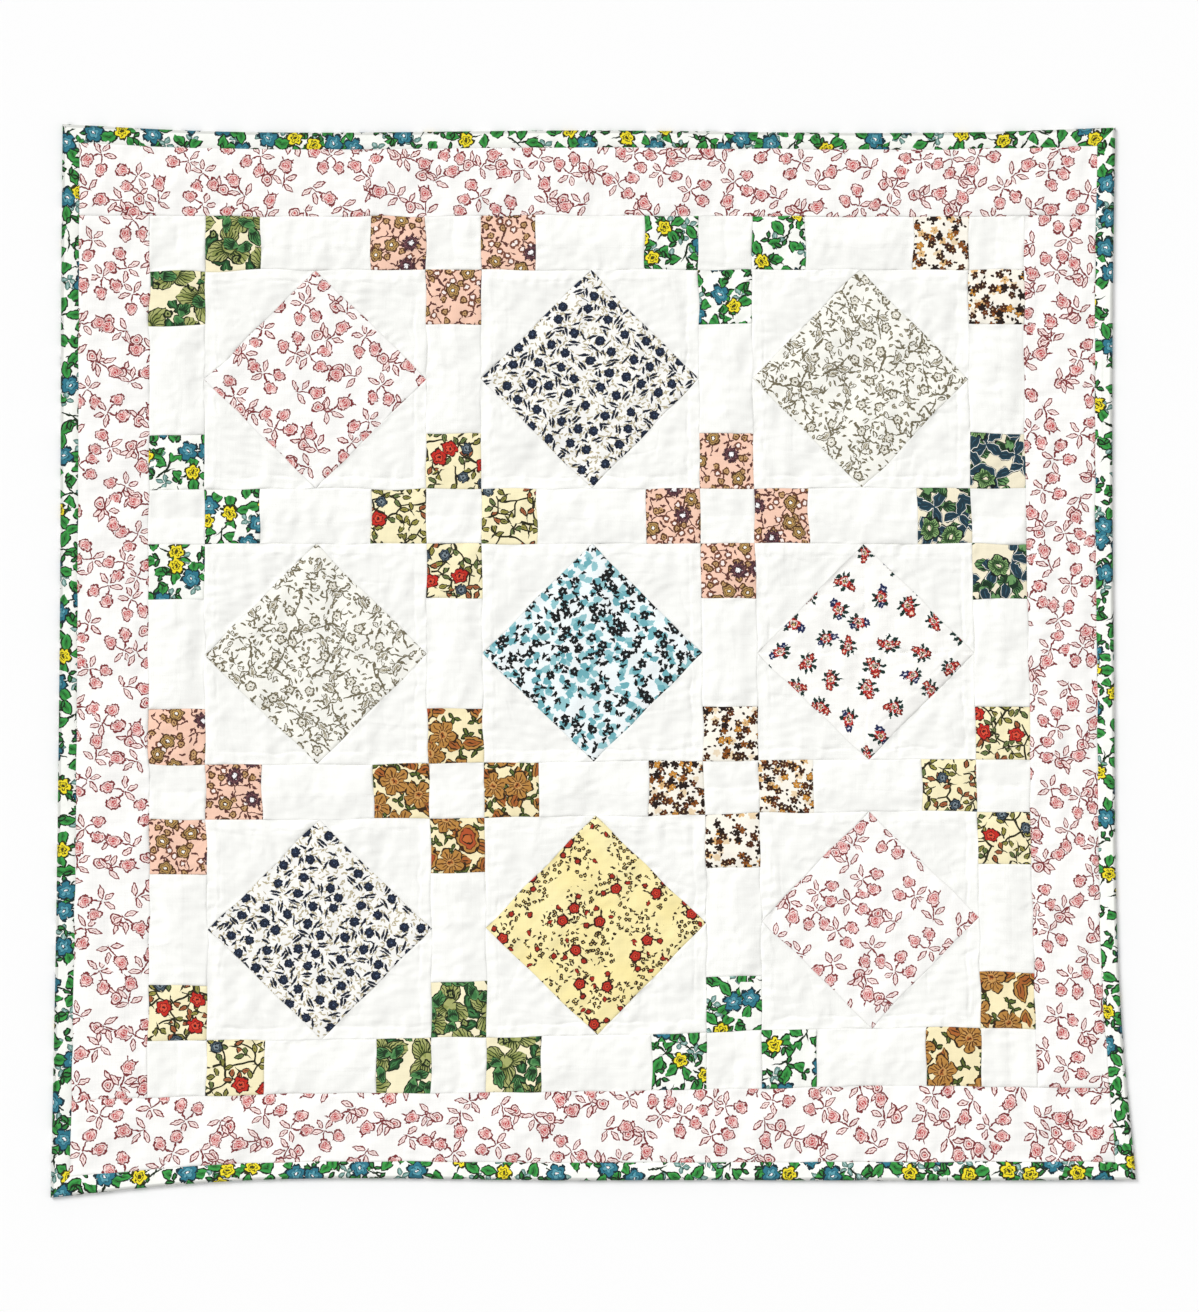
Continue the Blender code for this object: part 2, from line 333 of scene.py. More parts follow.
def veins(tree, place, at, rays, width, inside, limit=0.9, hollow=1.5):
    """Reach of thin lines that fan out from a point, kept inside another shape: the distance to
    the nearest ray is the radius times the sine of the angle from it. They start at the radius
    hollow, since nearer in they would run together."""
    own = add(tree, "Mapping", place, (*at, 0), (0, 0, 0), (1, 1, 1), vector_type="TEXTURE")
    distance = add(tree, "VectorMath", own, operation="LENGTH", out="Value")
    split = add(tree, "SeparateXYZ", own, out=None)
    angle = add(tree, "Math", split.outputs[1], split.outputs[0], operation="ARCTAN2")
    swing = add(tree, "Math", add(tree, "Math", angle, rays / 2, operation="MULTIPLY"), operation="SINE")
    side = add(tree, "Math", swing, operation="ABSOLUTE")
    off = add(tree, "Math", side, distance, operation="MULTIPLY")
    line = add(tree, "Math", off, 4 / (rays * width), operation="MULTIPLY")
    near = add(tree, "Math", hollow, distance, operation="DIVIDE")
    kept = add(tree, "Math", inside, 1 / limit, operation="MULTIPLY")
    return add(tree, "Math", add(tree, "Math", line, near, operation="MAXIMUM"), kept, operation="MAXIMUM")


def trellis(tree, cloth, spacing, start, width, sway):
    """Reach of thin lines that branch: the borders between the cells of an uneven grid, bent by
    a slow noise, which part and join as a climbing stem does."""
    bent = shaken(tree, cloth, sway, 3 * sway + 3)
    moved = add(tree, "VectorMath", bent, (start, start, 0), operation="ADD")
    away = add(tree, "TexVoronoi", moved, voronoi_dimensions="2D", feature="DISTANCE_TO_EDGE",
               out="Distance", Scale=1 / spacing, Randomness=0.9)
    return add(tree, "Math", away, 2 * spacing / width, operation="MULTIPLY")


print("shapes:", [shape.__name__ for shape in (leaf, blossom, veins, trellis)])


# %% Putting motifs together
def nearest(tree, *reaches):
    """One reach for several shapes that share an ink: the smallest of theirs."""
    least = reaches[0]
    for reach in reaches[1:]:
        least = add(tree, "Math", least, reach, operation="MINIMUM")
    return least


def spray(tree, place, *blades):
    """One reach for several leaves round a place. Each blade is its middle, turn, length, width
    and, where it bows, its bend."""
    return nearest(tree, *(leaf(tree, place, *blade) for blade in blades))


def only(tree, reach, number, low, high):
    """The reach where a number lies between low and high, and far outside elsewhere."""
    inside = add(tree, "Math", number, (low + high) / 2, (high - low) / 2, operation="COMPARE")
    away = add(tree, "Math", inside, -9, 9, operation="MULTIPLY_ADD")
    return add(tree, "Math", reach, away, operation="ADD")


def ink(tree, below, reach, *bands):
    """Print a motif over the colour below. Each band is the reach at which it ends and its
    colour, or None where the cloth below shows through."""
    ramp = add(tree, "ValToRGB", reach, out=None)
    stops = ramp.color_ramp
    stops.interpolation = "CONSTANT"
    start = 0.0
    for i, (end, colour) in enumerate(bands):
        stop = stops.elements[0] if i == 0 else stops.elements.new(start)
        stop.color = linear(colour) if colour else (0, 0, 0, 0)
        start = end
    last = stops.elements[len(stops.elements) - 1]
    last.position = start
    last.color = (0, 0, 0, 0)
    return add(tree, "MixRGB", ramp.outputs["Alpha"], below, ramp.outputs["Color"])


print("inks: one colour ramp to a motif, in flat bands as a printer lays them")

# %% [markdown]
# ## The cottons
#
# Every patch is plain-weave cotton, the quilter's usual cloth, printed with small flowers or
# left white. They share one finish: dull, with a little sheen from the lint, and fine raised
# threads both ways. Real threads lie about 0.35 mm apart, too fine to show from here, so they
# are drawn about three times as coarse. The cloth is thin, and where the folded allowance lies
# under it near a seam it looks brighter, which is why a white patch seems to have a frame.

# %% The shared finish of all the cottons
THREAD_MM = 0.9                # drawn coarse, as said above
SLUB_MM = 14                   # how far a thick place runs along its thread
CREASE_MM = 10                 # from one handling crease to the next
SEAM_SHADE_MM = 0.3            # how far in from a seam its shade reaches
FOLD_BLUR_MM = 0.4             # half the width of the change at the end of the allowance
COTTONS = {}


def threads(tree, cloth):
    """Woven relief, about 0.5 in the mean: noise drawn out along the cloth in both directions,
    so that each thread has its own thickness and its slubs."""
    total = None
    for across, up in ((THREAD_MM, SLUB_MM), (SLUB_MM, THREAD_MM)):
        drawn = add(tree, "VectorMath", cloth, (1 / across, 1 / up, 0), operation="MULTIPLY")
        noise = add(tree, "TexNoise", drawn, noise_dimensions="2D", Scale=1.0, Detail=2.0)
        total = noise if total is None else add(tree, "Math", total, noise, operation="ADD")
    return add(tree, "Math", total, 0.5, operation="MULTIPLY")


def crease_lines(tree, cloth):
    """Sharp little creases such as handled cotton keeps: a ridged noise, whose crests are where
    a soft noise crosses its middle, about 0 to 1."""
    ridges = add(tree, "TexNoise", cloth, noise_dimensions="2D", noise_type="RIDGED_MULTIFRACTAL",
                 Scale=1 / CREASE_MM, Detail=2.0, Roughness=0.6, Distortion=0.3)
    return add(tree, "Math", ridges, 0.5, operation="MULTIPLY")


def cotton(name, key, draw, relief=0.12, seam_shade=0.20, glow=0.0, thread_shade=0.10, crease=0.55):
    """A cotton for one cloth: draw prints its colour, threads give relief and a faint shading,
    and creases of crease mm roughen it. The seam ditch is darkened by seam_shade, which fades as
    an exponential over SEAM_SHADE_MM. Past the end of the allowance the cloth is duller by glow,
    so that the band over the allowance is the brighter part. On the binding, glow paints shade."""
    material = bpy.data.materials.new(name)
    material.use_nodes = True
    tree = material.node_tree
    surface = tree.nodes["Principled BSDF"]
    cloth = add(tree, "UVMap", uv_map="cloth")
    seam = add(tree, "Attribute", attribute_name="seam_mm", out="Fac")
    weave = threads(tree, cloth)
    shade = add(tree, "Math", weave, thread_shade, 1 - 0.5 * thread_shade, operation="MULTIPLY_ADD")
    near = add(tree, "Math", seam, -1 / SEAM_SHADE_MM, operation="MULTIPLY")
    line = add(tree, "Math", add(tree, "Math", near, operation="EXPONENT"), -seam_shade, 1.0,
               operation="MULTIPLY_ADD")
    shade = add(tree, "Math", shade, line, operation="MULTIPLY")
    if glow:
        fold = add(tree, "Attribute", attribute_name="fold_mm", out="Fac")
        under = add(tree, "MapRange", fold, -FOLD_BLUR_MM, FOLD_BLUR_MM, 1.0, 1.0 - glow,
                    interpolation_type="SMOOTHSTEP")
        shade = add(tree, "Math", shade, under, operation="MULTIPLY")
    colour = draw(tree, cloth)
    grey = add(tree, "CombineXYZ", shade, shade, shade)
    colour = add(tree, "MixRGB", 1.0, colour, grey, blend_type="MULTIPLY")
    tree.links.new(colour, surface.inputs["Base Color"])
    height = add(tree, "Math", add(tree, "Math", weave, relief, operation="MULTIPLY"),
                 add(tree, "Math", crease_lines(tree, cloth), crease, operation="MULTIPLY"),
                 operation="ADD")
    tree.links.new(add(tree, "Bump", Strength=1.0, Distance=MM, Height=height, out="Normal"),
                   surface.inputs["Normal"])
    rough = add(tree, "Math", weave, 0.12, 0.80, operation="MULTIPLY_ADD")
    tree.links.new(rough, surface.inputs["Roughness"])
    surface.inputs["Specular IOR Level"].default_value = 0.25
    surface.inputs["Sheen Weight"].default_value = 0.08
    surface.inputs["Sheen Roughness"].default_value = 0.6
    COTTONS[key] = material
    print(f"{name}: {len(tree.nodes)} nodes")


# %% Bleached white cotton
cotton("bleached_plain_weave_cotton", "white",
       lambda tree, cloth: linear("#FCFCF8"), seam_shade=0.12, glow=0.045, thread_shade=0.06, crease=0.80)

# %% [markdown]
# ### Rose print
#
# The border's cloth: sparse sprigs of small roses on near-white, drawn in a thin brownish line
# and touched in with pale pink, as a two-block print is. Two kinds of sprig are sown, one to a
# cell of about 19 mm, and chance decides which kind, which way up and which hand. Spare leaves
# and buds fill some of the gaps.


# %% Rose print
def rose_print(line, petal, deep, leaf_fill):
    """The printing of a rose cloth in four inks. A single sprig is one stem, three leaves and a
    rose; a double one is two stems that meet, three leaves and a rose at either end. A rose is a
    three-lobed head with a smaller head inked inside it in rings."""
    def draw(tree, cloth):
        """The colour at each place of the cloth, one layer of ink over another."""
        place = shaken(tree, cloth, 0.7, 2.1)
        own, lot = sow(tree, place, 18.8, 5.0, jitter=0.36, turns=0.8)
        single = spray(tree, own, ((0.2, -2.0), 84, 10.0, 0.9, 0.16), ((3.0, 9.4), 60, 3.4, 0.9),
                       ((-2.4, 9.2), 120, 2.8, 0.8))
        single_leaves = spray(tree, own, ((4.1, -3.2), 34, 7.8, 3.3), ((-3.5, -0.8), 140, 7.4, 3.2),
                              ((-3.0, -6.6), -156, 7.2, 3.0))
        double = spray(tree, own, ((-1.2, 1.2), 54, 7.6, 0.9, 0.24), ((2.7, 0.8), 122, 7.6, 0.9, -0.24))
        double_leaves = spray(tree, own, ((4.7, 5.0), 24, 8.0, 3.3), ((-3.6, 5.4), 158, 7.6, 3.2),
                              ((0.8, 7.8), 94, 6.4, 3.0))
        colour = linear("#FCFBF8")
        spare, spare_lot = sow(tree, place, 19.0, 14.0, jitter=0.5, turns=1.0)
        tips = spray(tree, spare, ((2.0, 1.4), 40, 7.0, 2.8), ((-2.4, 1.0), 138, 6.6, 2.7))
        tips = only(tree, tips, spare_lot, 0.0, 0.36)
        colour = ink(tree, colour, tips, (0.50, leaf_fill), (1.0, line))
        bud = only(tree, blossom(tree, spare, (0, -3.2), 3, 3.2, 0.18, tall=1.2), spare_lot, 0.0, 0.36)
        colour = ink(tree, colour, bud, (0.22, deep), (0.40, petal), (0.52, line), (0.76, leaf_fill),
                     (1.0, line))
        stems = nearest(tree, only(tree, single, lot, 0.0, 0.5), only(tree, double, lot, 0.5, 1.0))
        colour = ink(tree, colour, stems, (1.0, line))
        leaves = nearest(tree, only(tree, single_leaves, lot, 0.0, 0.5),
                         only(tree, double_leaves, lot, 0.5, 1.0))
        colour = ink(tree, colour, leaves, (0.10, line), (0.60, leaf_fill), (1.0, line))
        curl = shaken(tree, own, 0.8, 1.6)
        heads, hearts = [], []
        for at, size, low, high in (((0.5, 5.2), 3.9, 0.0, 0.5), ((-4.2, -3.6), 3.4, 0.5, 1.0),
                                    ((4.6, -4.2), 3.6, 0.5, 1.0)):
            heads.append(only(tree, blossom(tree, curl, at, 3, size, 0.20, tall=1.22), lot, low, high))
            middle = (at[0] + 0.3, at[1] + 0.4)
            hearts.append(only(tree, blossom(tree, curl, middle, 2, 0.60 * size, 0.30), lot, low, high))
        colour = ink(tree, colour, nearest(tree, *heads), (0.54, petal), (0.63, deep), (0.78, leaf_fill),
                     (1.0, line))
        return ink(tree, colour, nearest(tree, *hearts), (0.30, deep), (0.50, petal), (0.74, deep),
                   (0.90, petal), (1.0, deep))
    return draw


cotton("rose_sprig_print_cotton", "rose", rose_print("#7C3234", "#F7D2CC", "#BC4A4C", "#FAE4DF"))
cotton("faded_rose_sprig_print_cotton", "pale_rose", rose_print("#843A3B", "#F8D8D3", "#C05657", "#FBE7E3"))

# %% [markdown]
# ### Garden print
#
# The binding's cloth, and three of the crosses: bright green leaves, blue-green and yellow
# flowers, and lacy grey-green sprays on white, all drawn round with a dark green line.


# %% Garden print
def garden_print(tree, cloth):
    """From below upwards: two stems to a cell, lacy sprays, three broad leaves with a dark
    midrib, small leaves, and over a third of the cells each a blue or a yellow flower."""
    place = shaken(tree, cloth, 0.7, 2.4)
    line = "#12260F"
    own, lot = sow(tree, place, 16.0, 3.0, jitter=0.6, turns=1.0)
    stems = spray(tree, own, ((0, -4), 80, 16, 1.2, 0.2), ((3, 2), 30, 13, 1.1, -0.2))
    colour = ink(tree, linear("#FBFCF6"), stems, (1.0, line))
    lace, lace_lot = sow(tree, place, 11.5, 10.0, jitter=0.6, turns=1.0)
    lacy = spray(tree, lace, ((0.4, 2.4), 80, 4.8, 3.0), ((2.6, -0.6), 10, 4.8, 3.0),
                 ((-2.4, -0.2), 170, 4.6, 2.8), ((0.2, -2.6), -80, 4.4, 2.8))
    colour = ink(tree, colour, only(tree, lacy, lace_lot, 0.0, 0.36),
                 (0.30, "#A9C8C2"), (0.44, "#3F6D64"), (0.72, "#7FA9A0"), (1.0, "#1F4038"))
    wide = nearest(tree, leaf(tree, own, (6.4, -4.0), -30, 11.6, 6.6),
                   only(tree, leaf(tree, own, (-6.2, 4.4), 146, 11.6, 6.6), lot, 0.2, 1.0),
                   leaf(tree, own, (-2.2, -7.6), -112, 10.4, 5.8))
    colour = ink(tree, colour, wide, (0.07, line), (0.34, "#2A7A34"), (0.74, "#3A9A45"), (1.0, line))
    small, small_lot = sow(tree, place, 9.0, 17.0, jitter=0.7, turns=1.0)
    bits = spray(tree, small, ((0, 2.2), 75, 5.6, 2.9), ((2.0, -0.8), -20, 5.0, 2.6))
    colour = ink(tree, colour, only(tree, bits, small_lot, 0.0, 0.5), (0.40, "#2F7F3C"), (1.0, line))
    ragged = shaken(tree, own, 0.9, 1.8)
    blue = only(tree, blossom(tree, ragged, (0.4, 0.6), 5, 6.0, 0.34), lot, 0.0, 0.38)
    colour = ink(tree, colour, blue, (0.11, "#FFFFFF"), (0.22, "#12333F"), (0.44, "#5B9FAE"),
                 (0.52, "#1B5362"), (0.80, "#2C768A"), (1.0, "#102C36"))
    yellow = only(tree, blossom(tree, ragged, (0.4, 0.6), 5, 5.0, 0.30), lot, 0.46, 0.78)
    return ink(tree, colour, yellow, (0.24, "#45420D"), (0.38, "#F3DF1F"), (0.50, "#504D0F"),
               (0.76, "#F5E22A"), (1.0, "#30310C"))


cotton("garden_flower_print_cotton", "garden", garden_print)
# On the binding the glow is painted shade: along the outermost fold at the very edge, the cloth is darkened
# by a third.
cotton("garden_flower_print_binding_cotton", "binding", garden_print, seam_shade=0.12, glow=0.32)

# %% [markdown]
# ### Large leaf prints
#
# Three crosses are cut from cloths whose motifs are nearly as large as the square itself, so a
# square shows only parts of them: olive bells on cream, dark navy and green leaves, and golden
# brown star flowers. Thin lines that fan out inside each shape stand for its veins.


# %% Sage print
def sage_print(tree, cloth):
    """Dark leaves lie lowest. Over them three veined bells meet in each large cell, and then come
    veined green leaves and round olive beads."""
    place = shaken(tree, cloth, 1.1, 3.4)
    line, olive = "#121E08", "#A9AE6C"
    colour = linear("#F9F0CC")
    far, far_lot = sow(tree, place, 13, 2.0, jitter=0.7, turns=1.0)
    under = spray(tree, far, ((0, 3), 70, 12, 6.4), ((3, -3), -30, 11, 5.6))
    colour = ink(tree, colour, only(tree, under, far_lot, 0.0, 0.62), (0.09, line), (0.40, "#3F7A44"),
                 (0.78, "#1F4A26"), (1.0, line))
    own, lot = sow(tree, place, 22, 7.0, jitter=0.6, turns=1.0)
    bells = spray(tree, own, ((0, 6), 84, 17, 12), ((6, -3), -32, 16, 11), ((-6, -3), -148, 16, 11))
    colour = ink(tree, colour, bells, (0.34, "#8C9650"), (0.86, olive), (1.0, line))
    colour = ink(tree, colour, veins(tree, own, (0, 0), 30, 0.55, bells, limit=0.84, hollow=3.4),
                 (1.0, "#2C3A14"))
    top, top_lot = sow(tree, place, 15, 13.0, jitter=0.6, turns=1.0)
    leaves = spray(tree, top, ((3, 3), 40, 13, 7.0, 0.1), ((-4, -2), 170, 11, 6.0))
    leaves = only(tree, leaves, top_lot, 0.0, 0.6)
    colour = ink(tree, colour, leaves, (0.08, line), (0.50, "#3B7640"), (0.82, "#5B9156"), (1.0, line))
    colour = ink(tree, colour, veins(tree, top, (-1, -1), 34, 0.5, leaves, limit=0.72, hollow=3.0),
                 (1.0, "#173419"))
    bead = only(tree, blossom(tree, top, (3, -6), 4, 2.6, 0.3), top_lot, 0.3, 1.0)
    return ink(tree, colour, bead, (0.2, line), (0.52, "#8E9A5A"), (1.0, line))


cotton("sage_bellflower_print_cotton", "sage", sage_print)


# %% Navy leaf print
def navy_leaf_print(tree, cloth):
    """Mossy green leaves lie lowest. Over them two sowings of navy blades, three to a cell and
    edged with a pale and a dark line, and then green flowers with a cream eye."""
    place = shaken(tree, cloth, 1.2, 3.8)
    line, navy = "#081214", "#1B3542"
    colour = linear("#F3EACF")
    low, low_lot = sow(tree, place, 14, 4.0, jitter=0.7, turns=1.0)
    moss = spray(tree, low, ((0, 4), 80, 14, 8), ((4, -4), -35, 13, 7), ((-5, -2), -150, 12, 6))
    moss = only(tree, moss, low_lot, 0.0, 0.74)
    colour = ink(tree, colour, moss, (0.30, "#3E6E40"), (0.82, "#6C9A60"), (1.0, line))
    colour = ink(tree, colour, veins(tree, low, (0, 0), 34, 0.55, moss, limit=0.78, hollow=2.4),
                 (1.0, "#14301C"))
    for start, spacing in ((11.0, 15.5), (21.0, 14.0)):
        own, lot = sow(tree, place, spacing, start, jitter=0.5, turns=1.0)
        blades = spray(tree, own, ((0, 4.6), 86, 12.5, 6.6), ((4.8, -3.0), -34, 12.5, 6.2, 0.14),
                       ((-4.8, -2.8), -146, 12.0, 5.8, -0.14))
        colour = ink(tree, colour, only(tree, blades, lot, 0.0, 0.55), (0.10, "#31586A"), (0.50, navy),
                     (0.80, "#1F4150"), (0.90, "#F8F5EA"), (1.0, line))
    small, small_lot = sow(tree, place, 14, 5.0, jitter=0.5, turns=1.0)
    petals = only(tree, blossom(tree, shaken(tree, small, 1.0, 3.0), (1, 1), 5, 6.8, 0.26), small_lot, 0.0,
                  0.38)
    colour = ink(tree, colour, petals, (0.14, "#F3E9CC"), (0.24, line), (0.84, "#86AC6C"), (1.0, line))
    return ink(tree, colour, veins(tree, small, (1, 1), 25, 0.5, petals, limit=0.8, hollow=1.9),
               (1.0, "#2B4A26"))


cotton("navy_leaf_print_cotton", "navy_leaf", navy_leaf_print)


# %% Gold print
def gold_print(tree, cloth):
    """Small green sprigs, two curled rusty leaves to each large cell, and on most cells a golden
    star flower with rays fanned inside it, or else a round rusty head."""
    place = shaken(tree, cloth, 0.9, 3.0)
    line, gold, rust = "#34200A", "#B98540", "#A8602A"
    colour = linear("#F9ECC0")
    twig, twig_lot = sow(tree, place, 8.5, 3.0, jitter=0.7, turns=1.0)
    sprigs = spray(tree, twig, ((0, 1.8), 85, 5.8, 2.9), ((2.0, -0.6), -15, 5.0, 2.5),
                   ((-2.0, -0.8), 195, 4.8, 2.4))
    colour = ink(tree, colour, only(tree, sprigs, twig_lot, 0.0, 0.66), (0.46, "#5A6A2C"), (1.0, "#23290C"))
    own, lot = sow(tree, place, 18, 9.0, jitter=0.5, turns=1.0)
    curled = spray(tree, own, ((6.6, -5.4), -40, 15, 8.6, 0.2), ((-7.0, 5.0), 140, 14, 8))
    colour = ink(tree, colour, curled, (0.10, line), (0.44, rust), (0.56, line), (0.82, gold), (1.0, line))
    ragged = shaken(tree, own, 1.8, 4.5)
    star = only(tree, blossom(tree, ragged, (0, 0), 5, 8.8, 0.44), lot, 0.22, 0.94)
    colour = ink(tree, colour, star, (0.10, line), (0.20, rust), (0.44, "#CB9A58"), (0.86, gold),
                 (1.0, line))
    colour = ink(tree, colour, veins(tree, own, (0, 0), 15, 0.6, star, limit=0.74, hollow=2.2),
                 (1.0, "#5E3610"))
    round_head = only(tree, blossom(tree, ragged, (0, 0), 3, 6.8, 0.18, tall=1.3), lot, 0.0, 0.22)
    return ink(tree, colour, round_head, (0.30, "#C46A34"), (0.38, line), (0.60, "#B4522A"),
               (0.68, "#5E2810"), (0.88, gold), (1.0, line))


cotton("gold_star_flower_print_cotton", "gold", gold_print)

# %% [markdown]
# ### Small all-over prints for the crosses
#
# A pink cloth with plum and tan flowers and little white eyes, a close brown and gold calico, and
# a cream cloth with a wandering vine. The vine is not sown: it follows the borders between the
# cells of a bent, uneven grid, which part and join as stems do.


# %% Pink print
def pink_print(tree, cloth):
    """Scrolls that come and go with a soft noise, a close sowing of rings, tan specks and ticks,
    then tan flowers and ragged plum ones."""
    place = shaken(tree, cloth, 0.7, 1.7)
    plum, scroll = "#43262E", "#5E3630"
    colour = linear("#F8CDB6")
    curls = only(tree, trellis(tree, place, 8.0, 30.0, 0.8, 1.5), mottled(tree, cloth, 6, 3.0), 0.47, 1.0)
    colour = ink(tree, colour, curls, (1.0, scroll))
    bit, bit_lot = sow(tree, place, 4.6, 2.0, jitter=0.85, turns=1.0)
    rings = only(tree, blossom(tree, bit, (0, 0), 5, 2.2, 0.14), bit_lot, 0.0, 0.24)
    colour = ink(tree, colour, rings, (0.50, "#FCEFE8"), (1.0, "#7A4A38"))
    tans = only(tree, blossom(tree, bit, (0, 0), 3, 2.3, 0.25), bit_lot, 0.24, 0.52)
    colour = ink(tree, colour, tans, (0.20, scroll), (0.56, "#C39B68"), (1.0, "#5E3A20"))
    ticks = only(tree, leaf(tree, bit, (0, 0), 20, 3.6, 1.4, bend=0.3), bit_lot, 0.52, 0.86)
    colour = ink(tree, colour, ticks, (1.0, scroll))
    own, lot = sow(tree, place, 12.5, 7.0, jitter=0.6, turns=1.0)
    tan = only(tree, blossom(tree, own, (0, 0), 5, 4.2, 0.24), lot, 0.34, 0.74)
    colour = ink(tree, colour, tan, (0.20, "#FFF9EE"), (0.34, "#4E2E18"), (0.54, "#BF9A58"),
                 (0.64, "#5A3A1E"), (0.80, "#B3905A"), (1.0, "#4A3018"))
    ragged = only(tree, blossom(tree, shaken(tree, own, 1.2, 1.0), (0, 0), 9, 4.9, 0.30), lot, 0.0, 0.30)
    return ink(tree, colour, ragged, (0.06, plum), (0.26, "#FFFFFF"), (0.60, plum), (0.68, "#8A5A5E"),
               (1.0, plum))


cotton("pink_calico_print_cotton", "pink", pink_print)


# %% Brown print
def brown_print(tree, cloth):
    """Five-petalled flowers in three sowings, pale, tawny and dark, each in three tones by lot,
    and dark specks between them."""
    place = shaken(tree, cloth, 0.65, 1.4)
    colour = linear("#FCF7EA")
    for start, spacing, inks in ((1.0, 7.4, ("#EBD3AE", "#E0B77E", "#EEDCC0")),
                                 (4.0, 6.2, ("#C98A34", "#8A4E16", "#6A3410")),
                                 (8.0, 6.0, ("#3A1C0A", "#1E0F08", "#4A240C"))):
        own, lot = sow(tree, place, spacing, start, jitter=0.75, turns=1.0)
        for k, tone in enumerate(inks):
            petals = blossom(tree, own, (0.2, 0.1), 5, 2.6 - 0.2 * k, 0.46)
            colour = ink(tree, colour, only(tree, petals, lot, 0.21 * k, 0.21 * (k + 1)),
                         (0.16, "#F0D9A8" if k != 1 else "#1E0F08"), (0.84, tone),
                         (1.0, "#2A1408" if start > 1 else tone))
    speck, speck_lot = sow(tree, place, 3.3, 6.0, jitter=0.9, turns=1.0)
    bits = only(tree, leaf(tree, speck, (0, 0), 10, 2.3, 1.4), speck_lot, 0.0, 0.42)
    return ink(tree, colour, bits, (1.0, "#2A1509"))


cotton("brown_calico_print_cotton", "brown", brown_print)


# %% Vine print
def vine_print(tree, cloth):
    """A branching trellis that is left out in places, twigs with a pair of leaves in four tones
    by lot, and red or slate flowers on half of the larger cells."""
    place = shaken(tree, cloth, 0.6, 2.1)
    stem = "#26240F"
    colour = linear("#FAF0C6")
    vines = only(tree, trellis(tree, cloth, 13.5, 11.0, 1.05, 3.0), mottled(tree, cloth, 14, 8.0), 0.40,
                 1.0)
    colour = ink(tree, colour, vines, (1.0, stem))
    twig, twig_lot = sow(tree, place, 7.9, 5.0, jitter=0.7, turns=1.0)
    fork = only(tree, leaf(tree, twig, (0, -0.6), 78, 8.0, 0.85, bend=0.3), twig_lot, 0.0, 0.85)
    colour = ink(tree, colour, fork, (1.0, stem))
    pair = spray(tree, twig, ((2.2, 1.9), 44, 6.2, 3.3), ((-2.1, 0.9), 122, 5.6, 3.0))
    for k, tone in enumerate(("#9A9446", "#6B7C46", "#A8603A", "#8C8A44")):
        colour = ink(tree, colour, only(tree, pair, twig_lot, 0.24 * k, 0.24 * (k + 1)), (0.10, stem),
                     (0.54, tone), (1.0, stem))
    own, lot = sow(tree, place, 13.0, 9.0, jitter=0.6, turns=1.0)
    ragged = shaken(tree, own, 1.0, 1.8)
    red = only(tree, blossom(tree, ragged, (0, 0), 5, 4.5, 0.28, tall=1.2), lot, 0.0, 0.28)
    colour = ink(tree, colour, red, (0.18, "#4A0E0C"), (0.40, "#DB4E36"), (0.52, "#5A100E"),
                 (0.80, "#C4281C"), (1.0, "#4A0E0C"))
    slate = only(tree, blossom(tree, ragged, (0, 0), 6, 3.4, 0.18), lot, 0.28, 0.52)
    return ink(tree, colour, slate, (0.22, "#141B22"), (0.46, "#7A8890"), (0.60, "#1A242C"),
               (0.80, "#4A5A66"), (1.0, "#12191F"))


cotton("trailing_vine_print_cotton", "vine", vine_print)

# %% [markdown]
# ### Prints for the diamonds
#
# Four all-over prints at the scale of a dress cotton: ragged navy dots with pairs of strokes over
# a haze of taupe flecks, loose taupe line drawing, teal dabs with small black flowers, and a
# yellow ground with red flowers among drifts of tiny dark marks. The fifth is a tossed posy with
# much white about it.


# %% Navy dot print
def navy_dot_print(tree, cloth):
    """Two sowings of taupe flecks, then pairs of long dark strokes beside a ragged round dot."""
    navy, haze, stroke = "#111A2E", "#BDB294", "#1A2130"
    colour = linear("#F9F8F4")
    place = shaken(tree, cloth, 0.6, 1.6)
    for start, spacing in ((0.0, 2.9), (1.7, 3.3)):
        fleck, fleck_lot = sow(tree, place, spacing, start, jitter=0.95, turns=1.0)
        dash = only(tree, leaf(tree, fleck, (0, 0), 0, 2.6, 0.9), fleck_lot, 0.0, 0.74)
        colour = ink(tree, colour, dash, (1.0, haze))
    own, lot = sow(tree, place, 11.4, 4.0, jitter=0.48, turns=0.3)
    strokes = spray(tree, own, ((4.4, 2.2), 80, 7.6, 1.5, 0.06), ((6.2, 2.0), 74, 6.2, 1.4),
                    ((0.4, -4.8), 10, 7.2, 1.45, 0.08), ((0.8, -6.4), 4, 5.8, 1.3))
    colour = ink(tree, colour, only(tree, strokes, lot, 0.0, 0.82), (1.0, stroke))
    lines = spray(tree, own, ((-4.4, -1.8), 66, 6.8, 1.4), ((-1.4, 4.8), -16, 5.8, 1.3))
    colour = ink(tree, colour, only(tree, lines, lot, 0.2, 1.0), (1.0, stroke))
    ragged = shaken(tree, own, 0.7, 0.9)
    dot = blossom(tree, ragged, (0, 0), 7, 2.8, 0.14)
    return ink(tree, colour, dot, (0.20, "#42536E"), (0.46, navy), (0.55, "#33445F"), (1.0, navy))


cotton("navy_dot_print_cotton", "navy_dot", navy_dot_print)


